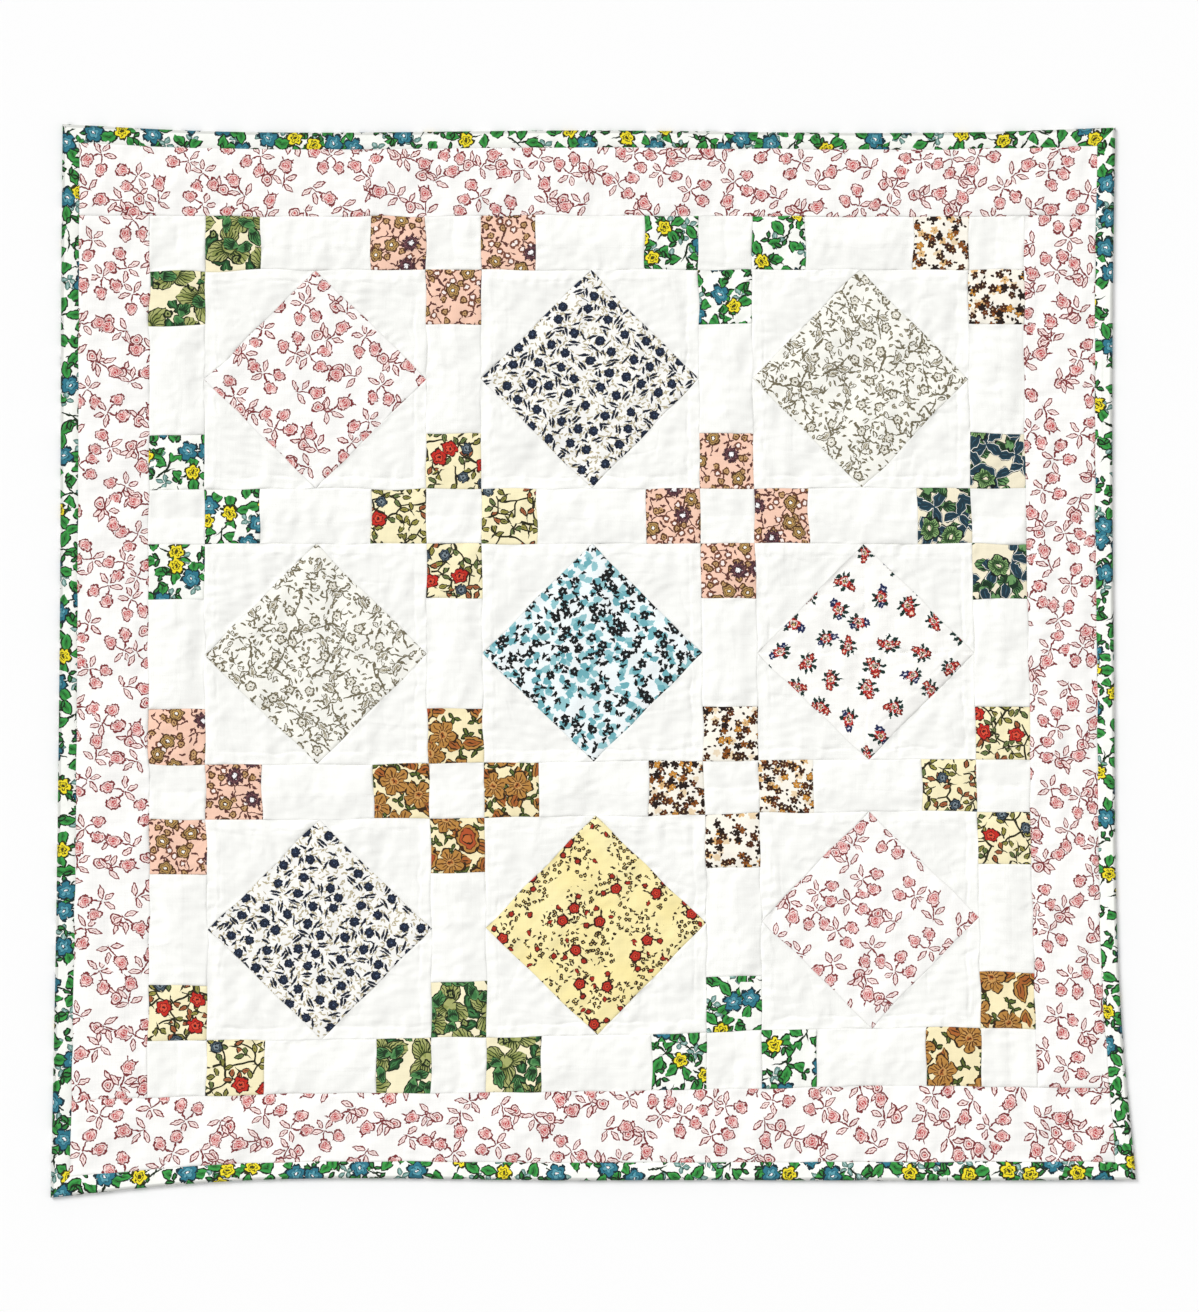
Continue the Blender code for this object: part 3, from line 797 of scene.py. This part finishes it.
# %% Sketch print
def sketch_print(ground, line, fill):
    """The printing of a line drawing in one ink: loose stems, stray strokes and small leaves,
    twigs, and on the cells by lot a ringed flower or a looped leaf, filled with a paler tint."""
    def draw(tree, cloth):
        """The colour at each place of the cloth, one layer of ink over another."""
        colour = linear(ground)
        place = shaken(tree, cloth, 0.7, 1.6)
        stem = only(tree, trellis(tree, place, 20.0, 14.0, 0.95, 3.0), mottled(tree, cloth, 13, 2.0), 0.50,
                    1.0)
        colour = ink(tree, colour, stem, (1.0, line))
        bit, bit_lot = sow(tree, place, 4.0, 1.0, jitter=0.9, turns=1.0)
        colour = ink(tree, colour, only(tree, leaf(tree, bit, (0, 0), 0, 3.0, 1.6), bit_lot, 0.0, 0.30),
                     (0.30, fill), (1.0, line))
        colour = ink(tree, colour, only(tree, leaf(tree, bit, (0, 0), 0, 3.6, 1.1, bend=0.15), bit_lot,
                                        0.30, 0.72), (1.0, line))
        own, lot = sow(tree, place, 9.4, 5.0, jitter=0.7, turns=1.0)
        twigs = spray(tree, own, ((-2.6, -1.6), 62, 8.5, 1.0, 0.25), ((-0.6, -2.6), 130, 5.0, 0.9, -0.25))
        colour = ink(tree, colour, only(tree, twigs, lot, 0.3, 1.0), (1.0, line))
        head = only(tree, blossom(tree, own, (0.4, 0.8), 5, 3.1, 0.30), lot, 0.0, 0.34)
        colour = ink(tree, colour, head, (0.20, line), (0.40, ground), (0.56, fill), (0.66, ground),
                     (1.0, line))
        loop = only(tree, leaf(tree, own, (0.6, 1.2), 60, 7.2, 4.2), lot, 0.34, 0.62)
        colour = ink(tree, colour, loop, (0.14, line), (0.34, fill), (0.46, line), (0.68, ground),
                     (1.0, line))
        leaves = spray(tree, own, ((3.2, 2.8), 35, 4.8, 2.5), ((-2.8, 3.2), 130, 4.6, 2.4))
        return ink(tree, colour, only(tree, leaves, lot, 0.2, 0.9), (0.10, line), (0.50, ground),
                   (1.0, line))
    return draw


cotton("taupe_sketch_print_cotton", "sketch", sketch_print("#F9F8F0", "#726A54", "#D5CEB8"))


# %% Teal print
def teal_print(tree, cloth):
    """Two sowings of soft dabs in two tones of teal, black strokes, and black flowers with a pale
    eye over half of the cells."""
    black = "#0A0D0F"
    colour = linear("#F2F9FA")
    place = shaken(tree, cloth, 0.8, 1.7)
    for start, spacing, tone in ((0.0, 6.4, "#93C6CC"), (3.1, 7.0, "#6FAFB8")):
        dab, dab_lot = sow(tree, place, spacing, start, jitter=0.8, turns=1.0)
        blob = spray(tree, dab, ((0, 0), 20, 5.6, 3.6), ((0.6, 1.0), 80, 4.4, 2.4))
        colour = ink(tree, colour, only(tree, blob, dab_lot, 0.0, 0.60), (1.0, tone))
    twig, twig_lot = sow(tree, place, 4.1, 2.0, jitter=0.85, turns=1.0)
    strokes = spray(tree, twig, ((0, 0), 0, 4.0, 1.6, 0.12), ((1.0, 1.3), 40, 2.6, 1.3))
    colour = ink(tree, colour, only(tree, strokes, twig_lot, 0.0, 0.60), (1.0, black))
    own, lot = sow(tree, place, 7.8, 6.0, jitter=0.7, turns=1.0)
    flower = only(tree, blossom(tree, shaken(tree, own, 0.8, 1.0), (0, 0), 5, 2.7, 0.34), lot, 0.0, 0.50)
    return ink(tree, colour, flower, (0.22, "#C9E3E6"), (1.0, black))


cotton("teal_dab_print_cotton", "teal", teal_print)


# %% Posy print
def posy_print(tree, cloth):
    """One posy to a cell, on rows that a slow noise bends: dark sprays, two small blue or red
    flowers, and a red head with a yellow eye over them."""
    place = shaken(tree, shaken(tree, cloth, 3.0, 22), 1.0, 1.6)
    green = "#12302A"
    own, lot = sow(tree, place, 17.0, 16.0, jitter=0.28, turns=1.0)
    sprays = spray(tree, own, ((-3.4, 2.0), 150, 4.4, 1.9), ((-3.8, -0.4), 185, 4.0, 1.8),
                   ((-2.8, -2.6), 226, 4.2, 1.9), ((1.0, 4.0), 82, 3.6, 1.9))
    colour = ink(tree, linear("#F7F6F2"), sprays, (1.0, green))
    far_sprays = spray(tree, own, ((3.6, 2.6), 40, 4.0, 1.8), ((0.2, -4.0), -92, 3.8, 1.9))
    colour = ink(tree, colour, only(tree, far_sprays, lot, 0.3, 1.0), (1.0, green))
    small = nearest(tree, blossom(tree, own, (3.4, -2.4), 5, 2.4, 0.40),
                    blossom(tree, own, (-1.6, 3.8), 4, 1.9, 0.40))
    colour = ink(tree, colour, only(tree, small, lot, 0.0, 0.4), (0.26, "#D9DDEA"), (1.0, "#1B2650"))
    colour = ink(tree, colour, only(tree, small, lot, 0.4, 1.0), (0.30, "#F1DCC4"), (0.66, "#B93528"),
                 (1.0, "#5E1412"))
    head = blossom(tree, shaken(tree, own, 1.3, 1.2), (0, 0), 5, 3.4, 0.36)
    return ink(tree, colour, head, (0.20, "#E7C27A"), (0.36, "#2E100E"), (0.54, "#F5E6DA"),
               (0.84, "#BB2620"), (1.0, "#4E1210"))


# The glow is negative: on this cloth the allowance is seen through the ground as a duller band.
cotton("posy_print_cotton", "posy", posy_print, seam_shade=0.18, glow=-0.045)


# %% Yellow print
def yellow_print(tree, cloth):
    """A ground of two yellows that drift into each other, dots and hooks gathered in drifts of
    their own, trails with red buds, and a red head on two cells in three."""
    place = shaken(tree, cloth, 0.6, 1.4)
    dark = "#33240F"
    tint = add(tree, "TexNoise", cloth, noise_dimensions="2D", Scale=1 / 30, Detail=2.0)
    colour = add(tree, "MixRGB", tint, linear("#F6E398"), linear("#FEF4C0"))
    drift = mottled(tree, cloth, 12, 5.0)
    mark, mark_lot = sow(tree, place, 2.9, 2.0, jitter=0.9, turns=1.0)
    dots = only(tree, only(tree, blossom(tree, mark, (0, 0), 4, 1.15, 0.2), mark_lot, 0.0, 0.5), drift,
                0.46, 1.0)
    colour = ink(tree, colour, dots, (0.30, "#E9CF7C"), (1.0, dark))
    hooks = only(tree, only(tree, leaf(tree, mark, (0, 0), 0, 2.9, 1.1, bend=0.4), mark_lot, 0.5, 0.84),
                 drift, 0.40, 1.0)
    colour = ink(tree, colour, hooks, (1.0, dark))
    own, lot = sow(tree, place, 20.5, 9.0, jitter=0.65, turns=1.0)
    trail = spray(tree, own, ((4.6, 1.6), 20, 8, 1.0, 0.4), ((-4, 3), 130, 6, 0.9))
    colour = ink(tree, colour, only(tree, trail, lot, 0.0, 0.7), (1.0, dark))
    buds = nearest(tree, blossom(tree, own, (6.4, 3.2), 4, 1.9, 0.14),
                   blossom(tree, own, (-3.6, 6.6), 3, 1.8, 0.2),
                   leaf(tree, own, (-6.6, -2.4), 40, 3.8, 2.4))
    colour = ink(tree, colour, buds, (0.60, "#A92C1B"), (1.0, "#3E1A0C"))
    head = only(tree, blossom(tree, own, (0, 0), 5, 3.5, 0.14), lot, 0.0, 0.66)
    return ink(tree, colour, head, (0.12, "#4A160E"), (0.34, "#D2402A"), (0.44, "#5A180E"),
               (0.72, "#BE2E1E"), (1.0, "#3E140A"))


cotton("yellow_berry_print_cotton", "yellow", yellow_print)
print("cottons:", len(COTTONS), "with", sum(len(m.node_tree.nodes) for m in COTTONS.values()), "nodes")

# %% [markdown]
# ## The shape of a patch
#
# Each patch is laid as a grid between its own straight sides, so its edges are true seams and
# not lines painted on one big sheet. A seam pulls the cloth down into a narrow ditch, the folded
# allowance under it lifts a band beside it, and the thread gathers it into tiny puckers. These
# are heights added to a flat patch. The heights at a side depend on the place alone, so two
# neighbours meet exactly.

# %% Heights of sewn cloth
DITCH_HEIGHT = 1.75 * MM       # where the thread holds the layers down
DITCH_RISE, DITCH_REACH = 0.38 * MM, 0.45 * MM
SWELL, SWELL_REACH = 0.40 * MM, 9 * MM
ALLOWANCE = 6.35 * MM          # a quarter inch, the quilter's usual seam allowance
PUCKER, PUCKER_LENGTH, PUCKER_REACH = 0.24 * MM, 6.0 * MM, 3.2 * MM
DIP, DIP_WIDTH = 0.24 * MM, 0.7 * MM             # of a line pressed into cloth
GATHER, GATHER_LENGTH, GATHER_REACH = 0.14 * MM, 7 * MM, 3 * MM
ALLOWANCE_STEP, ALLOWANCE_EDGE = 0.20 * MM, 0.5 * MM
FOLD_STEP, FOLD_EDGE = 0.34 * MM, 1.3 * MM       # where the cloth was once folded in four
ALLOWANCE_MARK, FOLD_MARK = 1.2, 2.4             # how strongly the line on each is pressed
SETTLE_REACH = 1.2 * MM        # how near a seam the wrinkles start to die away
NO_FOLD = 20.0                 # a fold distance, in mm, for cloth with no allowance near
THIN = 1.2 * MM                # below this height the wadding starts to resist
PRESSED_FLAT = 0.8 * MM        # the wadding and backing, squeezed as flat as they go
print(f"cloth {(DITCH_HEIGHT + DITCH_RISE + SWELL) / MM:.2f} mm high inside its seams")


def side_measures(u, v, corners):
    """For each straight side of a patch, how far in from it a place lies and how far along it:
    the two parts of the place, seen from the side's start, across and along the side."""
    run = np.roll(corners, -1, axis=0) - corners
    run = run / np.linalg.norm(run, axis=1, keepdims=True)
    du, dv = u[..., None] - corners[:, 0], v[..., None] - corners[:, 1]
    return run[:, 0] * dv - run[:, 1] * du, run[:, 0] * du + run[:, 1] * dv


def pressed_line(across, along, seed):
    """Height beside a line pressed or ridged into cloth: a narrow dip on the line, and short
    puckers across it that die away on both sides."""
    uneven = 0.75 + 0.45 * waves(along, 0 * along, 17 * MM, seed)
    dip = np.exp(-(across / DIP_WIDTH) ** 2) * uneven
    gathers = np.exp(-np.abs(across) / GATHER_REACH) * waves(along, 0.4 * across, GATHER_LENGTH, seed + 1)
    return GATHER * gathers - DIP * dip


def lie(u, v):
    """How the whole quilt lies on a table: long low waves of two lengths shared by every patch,
    so that neighbours still meet at their seams."""
    return 0.10 * MM * waves(u, v, 75 * MM, 71) + 0.15 * MM * waves(u, v, 190 * MM, 72)


CRUMPLES = (
    # height     size       drawn out
    (0.24 * MM,  15 * MM,   (1.0, 1.6)),
    (0.09 * MM,  6.0 * MM,  (1.5, 1.0)),
    (0.30 * MM,  42 * MM,   (1.0, 1.0)),
)
LINE_DEPTH = 0.20 * MM
LINE_SHARPNESS = 0.22          # how near its middle the slow field has to be


def crumple(u, v, seed):
    """Soft handling wrinkles: waves of three sizes, and fine lines where a slow field crosses its
    middle, drawn out along the threads, as cotton creases more easily that way. A gate leaves
    the lines out in places."""
    soft = sum(height * waves(u, v, size, seed + k, stretch=drawn)
               for k, (height, size, drawn) in enumerate(CRUMPLES))
    upright = np.exp(-(waves(u, v, 16 * MM, seed + 3, stretch=(1.0, 3.5)) / LINE_SHARPNESS) ** 2)
    level = np.exp(-(waves(u, v, 18 * MM, seed + 4, stretch=(3.5, 1.0)) / LINE_SHARPNESS) ** 2)
    gate = np.clip(0.3 + waves(u, v, 30 * MM, seed + 6), 0, 1)
    return soft - LINE_DEPTH * gate * (upright + level)


# %% The height of a sewn patch
def padded(z):
    """Heights held up by the wadding: unchanged above THIN, and below it an exponential that
    starts with the same slope and sinks towards PRESSED_FLAT but never reaches it."""
    room = THIN - PRESSED_FLAT
    return np.where(z < THIN, PRESSED_FLAT + room * np.exp((np.minimum(z, THIN) - THIN) / room), z)


def sewn_height(u, v, corners, seed, ripple, folds, band, creases):
    """Height of a sewn patch: the ditch at its sides, the swell inside, puckers that die away
    from each side, and crumples. Beside a side in folds the allowance lies beneath, and ends in
    a small step with a pressed line. Each crease is a place and a direction of a deeper line,
    with a step across it. Also returns the distance in mm past the end of the allowance."""
    inward, along = side_measures(u, v, corners)
    inward = np.maximum(inward, 0)
    depth = inward.min(axis=-1)
    height = DITCH_HEIGHT + DITCH_RISE * (1 - np.exp(-depth / DITCH_REACH))
    s = np.clip(depth / SWELL_REACH, 0, 1)
    height = height + SWELL * s * s * (3 - 2 * s)
    settle = 1 - np.exp(-depth / SETTLE_REACH)       # 0 at a seam, so that neighbours meet
    for k in range(inward.shape[-1]):
        d, a = inward[..., k], along[..., k]
        fade = (1 - np.exp(-d / (0.6 * MM))) * np.exp(-d / PUCKER_REACH)
        uneven = 0.7 + 0.5 * waves(a, d, 50 * MM, seed + 20 + k)
        height = height + PUCKER * ripple * fade * uneven * waves(a, 0.25 * d, PUCKER_LENGTH, seed + k)
    fold = np.full(u.shape, NO_FOLD)
    for k in folds:
        past = inward[..., k] - band - 0.35 * MM * waves(along[..., k], 0 * u, 15 * MM, seed + 30 + k)
        height = height - settle * ALLOWANCE_STEP * (0.5 + 0.5 * np.tanh(past / ALLOWANCE_EDGE))
        height = height + settle * ALLOWANCE_MARK * pressed_line(past, along[..., k], seed + 34 + k)
        fold = np.minimum(fold, past / MM)
    for (u0, v0), (ru, rv) in creases:
        a = (u - u0) * ru + (v - v0) * rv
        d = (v - v0) * ru - (u - u0) * rv + 0.4 * MM * waves(a, 0 * a, 26 * MM, seed + 40)
        height = height + settle * FOLD_MARK * pressed_line(d, a, seed + 50)
        height = height - settle * FOLD_STEP * np.tanh(d / FOLD_EDGE)
    return padded(height + ripple * settle * crumple(u, v, seed + 60) + lie(u, v)), fold


# %% [markdown]
# A patch is a grid between its corners, with closer lines near its sides, where the cloth dips
# to the seam. Its print starts at a place of its own, as the quilter's scissors happened to fall.

# %% Grids between four corners
FINE_STEPS = np.array([0, 0.35, 0.8, 1.4, 2.2]) * MM     # close lines where a patch dips to its seam


def graded(length, step):
    """Shares from 0 to 1 along a side of that length: the fine steps in from either end, and
    even steps between."""
    count = max(1, math.ceil((length - 2 * FINE_STEPS[-1]) / step))
    middle = np.linspace(FINE_STEPS[-1], length - FINE_STEPS[-1], count + 1)
    return np.concatenate([FINE_STEPS[:-1], middle, (length - FINE_STEPS[:-1])[::-1]]) / length


def lay(corners, seed, step=1.3 * MM, turn=0.0, ripple=1.0, folds=(), band=ALLOWANCE, creases=()):
    """One patch between its corners, which run anticlockwise: a plan place is the mix of four
    corners by its two shares, and a three-cornered patch takes the middle of its long side as
    the fourth. Returns the places, the print coordinates, and two distances in mm: in from the
    nearest seam, and past the end of the allowance."""
    corners = np.asarray(corners, float)
    a, b, *c, d = corners
    c = c[0] if c else (b + d) / 2
    s = graded(np.linalg.norm(b - a), step)[None, :, None]
    t = graded(np.linalg.norm(d - a), step)[:, None, None]
    plan = (1 - s) * (1 - t) * a + s * (1 - t) * b + s * t * c + (1 - s) * t * d
    u, v = plan[..., 0], plan[..., 1]
    x, y = eased(u, v)
    z, fold = sewn_height(u, v, corners, seed, ripple, folds, band, creases)
    centre = corners.mean(axis=0)
    angle = math.radians(turn)
    shift = np.random.default_rng(seed).uniform(0, 400, 2)
    across = ((u - centre[0]) * math.cos(angle) + (v - centre[1]) * math.sin(angle)) / MM + shift[0]
    up = (-(u - centre[0]) * math.sin(angle) + (v - centre[1]) * math.cos(angle)) / MM + shift[1]
    depth = side_measures(u, v, corners)[0].min(axis=-1) / MM
    return np.stack([x, y, z], -1), np.stack([across, up], -1), np.stack([np.maximum(depth, 0), fold], -1)


def cloth_piece(name, laid, material):
    """One mesh of several grids of the same size: each quad joins four neighbours in a grid,
    and none joins one grid to the next. It carries the print coordinates and both distances."""
    places, prints, distances = (np.stack(part) for part in zip(*laid))
    index = np.arange(places[..., 0].size).reshape(places.shape[:-1])
    quads = np.stack([index[:, :-1, :-1], index[:, :-1, 1:], index[:, 1:, 1:], index[:, 1:, :-1]], -1)
    quads = quads.reshape(-1, 4)
    mesh = bpy.data.meshes.new(name)
    mesh.from_pydata(places.reshape(-1, 3), [], quads)
    mesh.uv_layers.new(name="cloth").data.foreach_set("uv", prints.reshape(-1, 2)[quads.ravel()].ravel())
    for k, attribute in enumerate(("seam_mm", "fold_mm")):
        mesh.attributes.new(attribute, "FLOAT", "POINT").data.foreach_set("value",
                                                                          distances[..., k].ravel())
    mesh.shade_smooth()
    mesh.materials.append(material)
    piece = bpy.data.objects.new(name, mesh)
    scene.collection.objects.link(piece)
    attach(piece, "root")
    return piece


def oblong(u0, v0, u1, v1):
    """The corners of an upright rectangle, anticlockwise from the lower left."""
    return [(u0, v0), (u1, v0), (u1, v1), (u0, v1)]


print("grid lines across a small square:", len(graded(UNIT, 1.3 * MM)))

# %% [markdown]
# ## The diamonds
#
# Nine squares of print are set on point. A quilter cuts them with the print upright in the
# diamond, and so the print's own axes stay upright here while the patch's sides run at 45 degrees.
# Two of them show the allowance along one lower side as a band, and the posy one was once
# folded in four, which left a cross of creases.

# %% Lay the nine diamonds
block_places = [(row, column, (column - 1) * PITCH, (1 - row) * PITCH)
                for row in range(3) for column in range(3)]
DIAMOND_CLOTHS = ("rose", "navy_dot", "sketch", "sketch", "teal", "posy", "navy_dot", "yellow", "pale_rose")
WIDE_ALLOWANCE = 8.5 * MM
DIAMOND_STEP, CREASED_STEP = 1.25 * MM, 0.8 * MM
half = BLOCK / 2
for (row, column, u, v), cloth_name in zip(block_places, DIAMOND_CLOTHS):
    corners = [(u, v - half), (u + half, v), (u, v + half), (u - half, v)]
    seed = 1000 + 100 * row + 10 * column
    creases = [((u, v), (1, 0)), ((u, v), (0, 1))] if cloth_name == "posy" else ()
    folds = (0,) if cloth_name in ("posy", "rose") else ()
    laid = lay(corners, seed, step=CREASED_STEP if creases else DIAMOND_STEP, ripple=0.9,
               folds=folds, band=WIDE_ALLOWANCE, creases=creases)
    piece = cloth_piece(f"diamond_{row + 1}{column + 1}_{cloth_name}", [laid], COTTONS[cloth_name])
    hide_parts("patchwork_centre")
print("diamonds:", len(block_places), "with sides of", round(half * math.sqrt(2) / MM, 1), "mm")

# %% [markdown]
# ## The white corner triangles
#
# Four white triangles turn each diamond into a square block. They are cut with the thread along
# the block's sides, and the allowances of those two sides are pressed in under the triangle.

# %% Lay the white corners of each block
for row, column, u, v in block_places:
    laid = []
    for k, (side_u, side_v) in enumerate(((1, 1), (-1, 1), (-1, -1), (1, -1))):
        tip_u, tip_v = (u + side_u * half, v), (u, v + side_v * half)
        right_angle = (u + side_u * half, v + side_v * half)
        corners = [right_angle, tip_v, tip_u] if side_u * side_v > 0 else [right_angle, tip_u, tip_v]
        laid.append(lay(corners, 2000 + 100 * row + 20 * column + 300 * k, step=1.05 * MM, folds=(0, 2)))
    piece = cloth_piece(f"white_corners_{row + 1}{column + 1}", laid, COTTONS["white"])
    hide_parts("patchwork_centre")
print("white corners:", 4 * len(block_places))

# %% [markdown]
# ## The sashing
#
# Narrow strips part the blocks. Each strip is a white rectangle with a print square at either
# end, and a white square joins four strips. So every white cornerstone has print squares of one
# cloth on all its sides, which is what makes the eye see a cross at each crossing. The strips
# were pressed in half before they were sewn, and the fold still shows along their middle.

# %% Lay cornerstones, white rectangles and print squares
CROSS_CLOTHS = (("sage", "pink", "garden", "brown"),
                ("garden", "vine", "pink", "navy_leaf"),
                ("pink", "gold", "brown", "vine"),
                ("vine", "sage", "garden", "gold"))
STONE_FOLD, LEVEL_FOLD, UPRIGHT_FOLD = 0.50 * UNIT, 0.58 * UNIT, 0.56 * UNIT   # in from one side
short = UNIT / 2
stones, rectangles = [], []
squares = {cloth_name: [] for line in CROSS_CLOTHS for cloth_name in line}
for i in range(4):
    for j in range(4):
        u, v = (j - 1.5) * PITCH, (1.5 - i) * PITCH
        seed = 5000 + 97 * (4 * i + j)
        stones.append(lay(oblong(u - short, v - short, u + short, v + short), seed,
                          folds=(1,) if i in (0, 3) else (0,), band=STONE_FOLD))
        for k, (step_u, step_v) in enumerate(((1, 0), (0, 1), (-1, 0), (0, -1))):
            su, sv = u + step_u * UNIT, v + step_v * UNIT
            if max(abs(su), abs(sv)) < CENTRE_HALF:
                quarter = 90 * ((seed // 7 + k) % 4)
                squares[CROSS_CLOTHS[i][j]].append(
                    lay(oblong(su - short, sv - short, su + short, sv + short), seed + 11 * (k + 1),
                        turn=quarter, ripple=0.8))
        if j < 3:
            middle = u + PITCH / 2
            rectangles.append(lay(oblong(middle - UNIT, v - short, middle + UNIT, v + short), seed + 61,
                                  folds=(2,), band=LEVEL_FOLD))
            v2 = (j - 1) * PITCH
            u2 = (i - 1.5) * PITCH
            rectangles.append(lay([(u2 + short, v2 - UNIT), (u2 + short, v2 + UNIT),
                                   (u2 - short, v2 + UNIT), (u2 - short, v2 - UNIT)], seed + 71,
                                  folds=(2,), band=UPRIGHT_FOLD))

sashing = [("cornerstones", stones, "white", UNIT), ("sashing_rectangles", rectangles, "white", 2 * UNIT)]
sashing += [("squares_" + cloth_name, laid, cloth_name, UNIT) for cloth_name, laid in squares.items()]
for name, laid, cloth_name, length in sashing:
    piece = cloth_piece(name, laid, COTTONS[cloth_name])
    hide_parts("patchwork_centre")
    print(f"{name}: {len(laid)}")

# %% [markdown]
# ## The border
#
# Four strips of rose print frame the pieced centre. The side strips are sewn on first, and the
# top and bottom ones run over their ends. The print stands upright in the top and left strips;
# the maker turned the cloth for the other two.

# %% Lay the border strips
c, b = CENTRE_HALF, STITCH_HALF
BORDERS = (
    # name            corners                       print turn
    ("border_top",    oblong(-b, c, b, b),          0),
    ("border_bottom", oblong(-b, -b, b, -c),        180),
    ("border_left",   oblong(-b, -c, -c, c),        0),
    ("border_right",  oblong(c, -c, b, c),          90),
)
for k, (name, corners, turn) in enumerate(BORDERS):
    laid = lay(corners, 8000 + 50 * k, step=1.4 * MM, turn=turn)
    piece = cloth_piece("rose_" + name, [laid], COTTONS["rose"])
    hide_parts(name)
    length = corners[2][0] - corners[0][0] if k < 2 else corners[2][1] - corners[0][1]
    print(f"{name}: {length / MM:.0f} x {BORDER_WIDTH / MM:.0f} mm")

# %% [markdown]
# ## The binding
#
# The raw edge is closed by a folded strip. It is sewn along the front, turned over the edge and
# stitched down behind. Its section is a flattened loop: up out of the front seam, over the
# plump fold at the very edge, and back along the underside. That profile is carried along
# each side, and its length shrinks with its depth in from the edge, which mitres the corners.

# %% Carry the binding's profile along each side
FOLD_RADIUS = 1.4 * MM
BINDING_STEP = 1.5 * MM
BINDING_GATHER = 0.10 * MM
SHARED_WAVES_FROM = 6 * MM      # deeper in than this the binding lies on the quilt's own waves
LIFT = 0.05 * MM                # keeps the underside off the floor's own plane
DROP_REACH = 1.3 * MM           # how steeply the front rises from its seam
DOME = 0.35 * MM                # how much lower the front lies at its seam than at the fold
PAINTED_EDGE_SHADE_WIDTH = 1.7 * MM           # how far in from the very edge the painted shade of the turning fold reaches
BINDING_SLANT = 33             # degrees between the print and the strip, which is cut on a slant


def binding_profile():
    """Depth in from the edge and height, from the front seam outwards: a low dome over the
    front, a half circle at the fold, and a flat underside. Also the length run along it, in mm."""
    front = np.linspace(1, 0, 15)[:-1]
    depth_front = FOLD_RADIUS + front * (BINDING_WIDTH - FOLD_RADIUS)
    drop = np.exp(-(BINDING_WIDTH - depth_front) / DROP_REACH)
    top = 2 * FOLD_RADIUS - DOME * front ** 2
    z_front = top + (DITCH_HEIGHT - top) * drop
    round_angle = np.linspace(math.pi / 2, -math.pi / 2, 9)
    depth_fold = FOLD_RADIUS * (1 - np.cos(round_angle))
    z_fold = FOLD_RADIUS * (1 + np.sin(round_angle))
    under = np.linspace(0, 1, 7)[1:]
    depth_under = FOLD_RADIUS + under * (BINDING_WIDTH - FOLD_RADIUS)
    depth = np.concatenate([depth_front, depth_fold, depth_under])
    height = np.concatenate([z_front, z_fold, np.zeros_like(under)])
    run = np.concatenate([[0], np.cumsum(np.hypot(np.diff(depth), np.diff(height)))])
    return depth, height, run / MM


def lay_binding(turn, seed):
    """One side's binding: rows follow the profile, columns the edge. The side's own plan
    (along, depth) is turned by quarter turns onto the quilt's plan."""
    depth, height, run = binding_profile()
    share = np.linspace(-1, 1, 2 * round(EDGE_HALF / BINDING_STEP) + 1)
    along = share[None, :] * (EDGE_HALF - depth)[:, None]
    out = np.broadcast_to((EDGE_HALF - depth)[:, None], along.shape)
    angle = math.radians(turn)
    u = along * math.cos(angle) - out * math.sin(angle)
    v = along * math.sin(angle) + out * math.cos(angle)
    x, y = eased(u, v)
    front = (height > FOLD_RADIUS)[:, None]
    swell = np.sin(np.pi * np.clip(depth / BINDING_WIDTH, 0, 1))[:, None]
    gathers = BINDING_GATHER * waves(along, 0.3 * out, GATHER_LENGTH, seed) * swell
    z = height[:, None] + front * (gathers + lie(u, v) * (depth > SHARED_WAVES_FROM)[:, None])
    z = np.maximum(z, LIFT)
    round_edge = 0 * along + run[:, None]
    slant = math.radians(BINDING_SLANT)
    prints = np.stack([along / MM * math.cos(slant) + round_edge * math.sin(slant) + seed,
                       along / MM * math.sin(slant) - round_edge * math.cos(slant) + seed], -1)
    # The second distance is positive in the outer 1.7 mm, where the binding's cotton paints shade along the
    # fold.
    distances = np.stack([round_edge, 0 * along + (PAINTED_EDGE_SHADE_WIDTH - depth)[:, None] / MM], -1)
    return np.stack([x, y, z], -1)[::-1], prints[::-1], distances[::-1]


BINDING_SIDES = (("binding_top", 0), ("binding_left", 90), ("binding_bottom", 180), ("binding_right", 270))
for k, (name, turn) in enumerate(BINDING_SIDES):
    piece = cloth_piece("folded_" + name, [lay_binding(turn, 37 * (k + 1))], COTTONS["binding"])
    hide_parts(name)
print(f"binding strip: {2 * EDGE_HALF / MM:.0f} mm long, {binding_profile()[2][-1]:.1f} mm round the edge")

# %% [markdown]
# ## The backing
#
# A plain white cotton closes the quilt behind. Only its own face is ever seen, from below, so it
# is one sheet laid just above the table, and its edges run in under the binding.

# %% Lay the backing
BACK_HEIGHT = 0.35 * MM
BACK_WAVE = 0.2 * MM
TUCK = 3 * MM
share = np.linspace(-1, 1, 101)
u, v = np.meshgrid(share * (EDGE_HALF - TUCK), share * (EDGE_HALF - TUCK))
x, y = eased(u, v)
z = BACK_HEIGHT + BACK_WAVE * np.clip(waves(u, v, 60 * MM, 91), -1, 1)
places = np.stack([x, y, z], -1)[::-1]        # the rows run down, so that its face looks down
prints = np.stack([u, v], -1)[::-1] / MM
backing = cloth_piece("backing", [(places, prints, np.full_like(prints, NO_FOLD))], COTTONS["white"])
print(f"backing: {2 * (EDGE_HALF - TUCK) / MM:.0f} mm each way")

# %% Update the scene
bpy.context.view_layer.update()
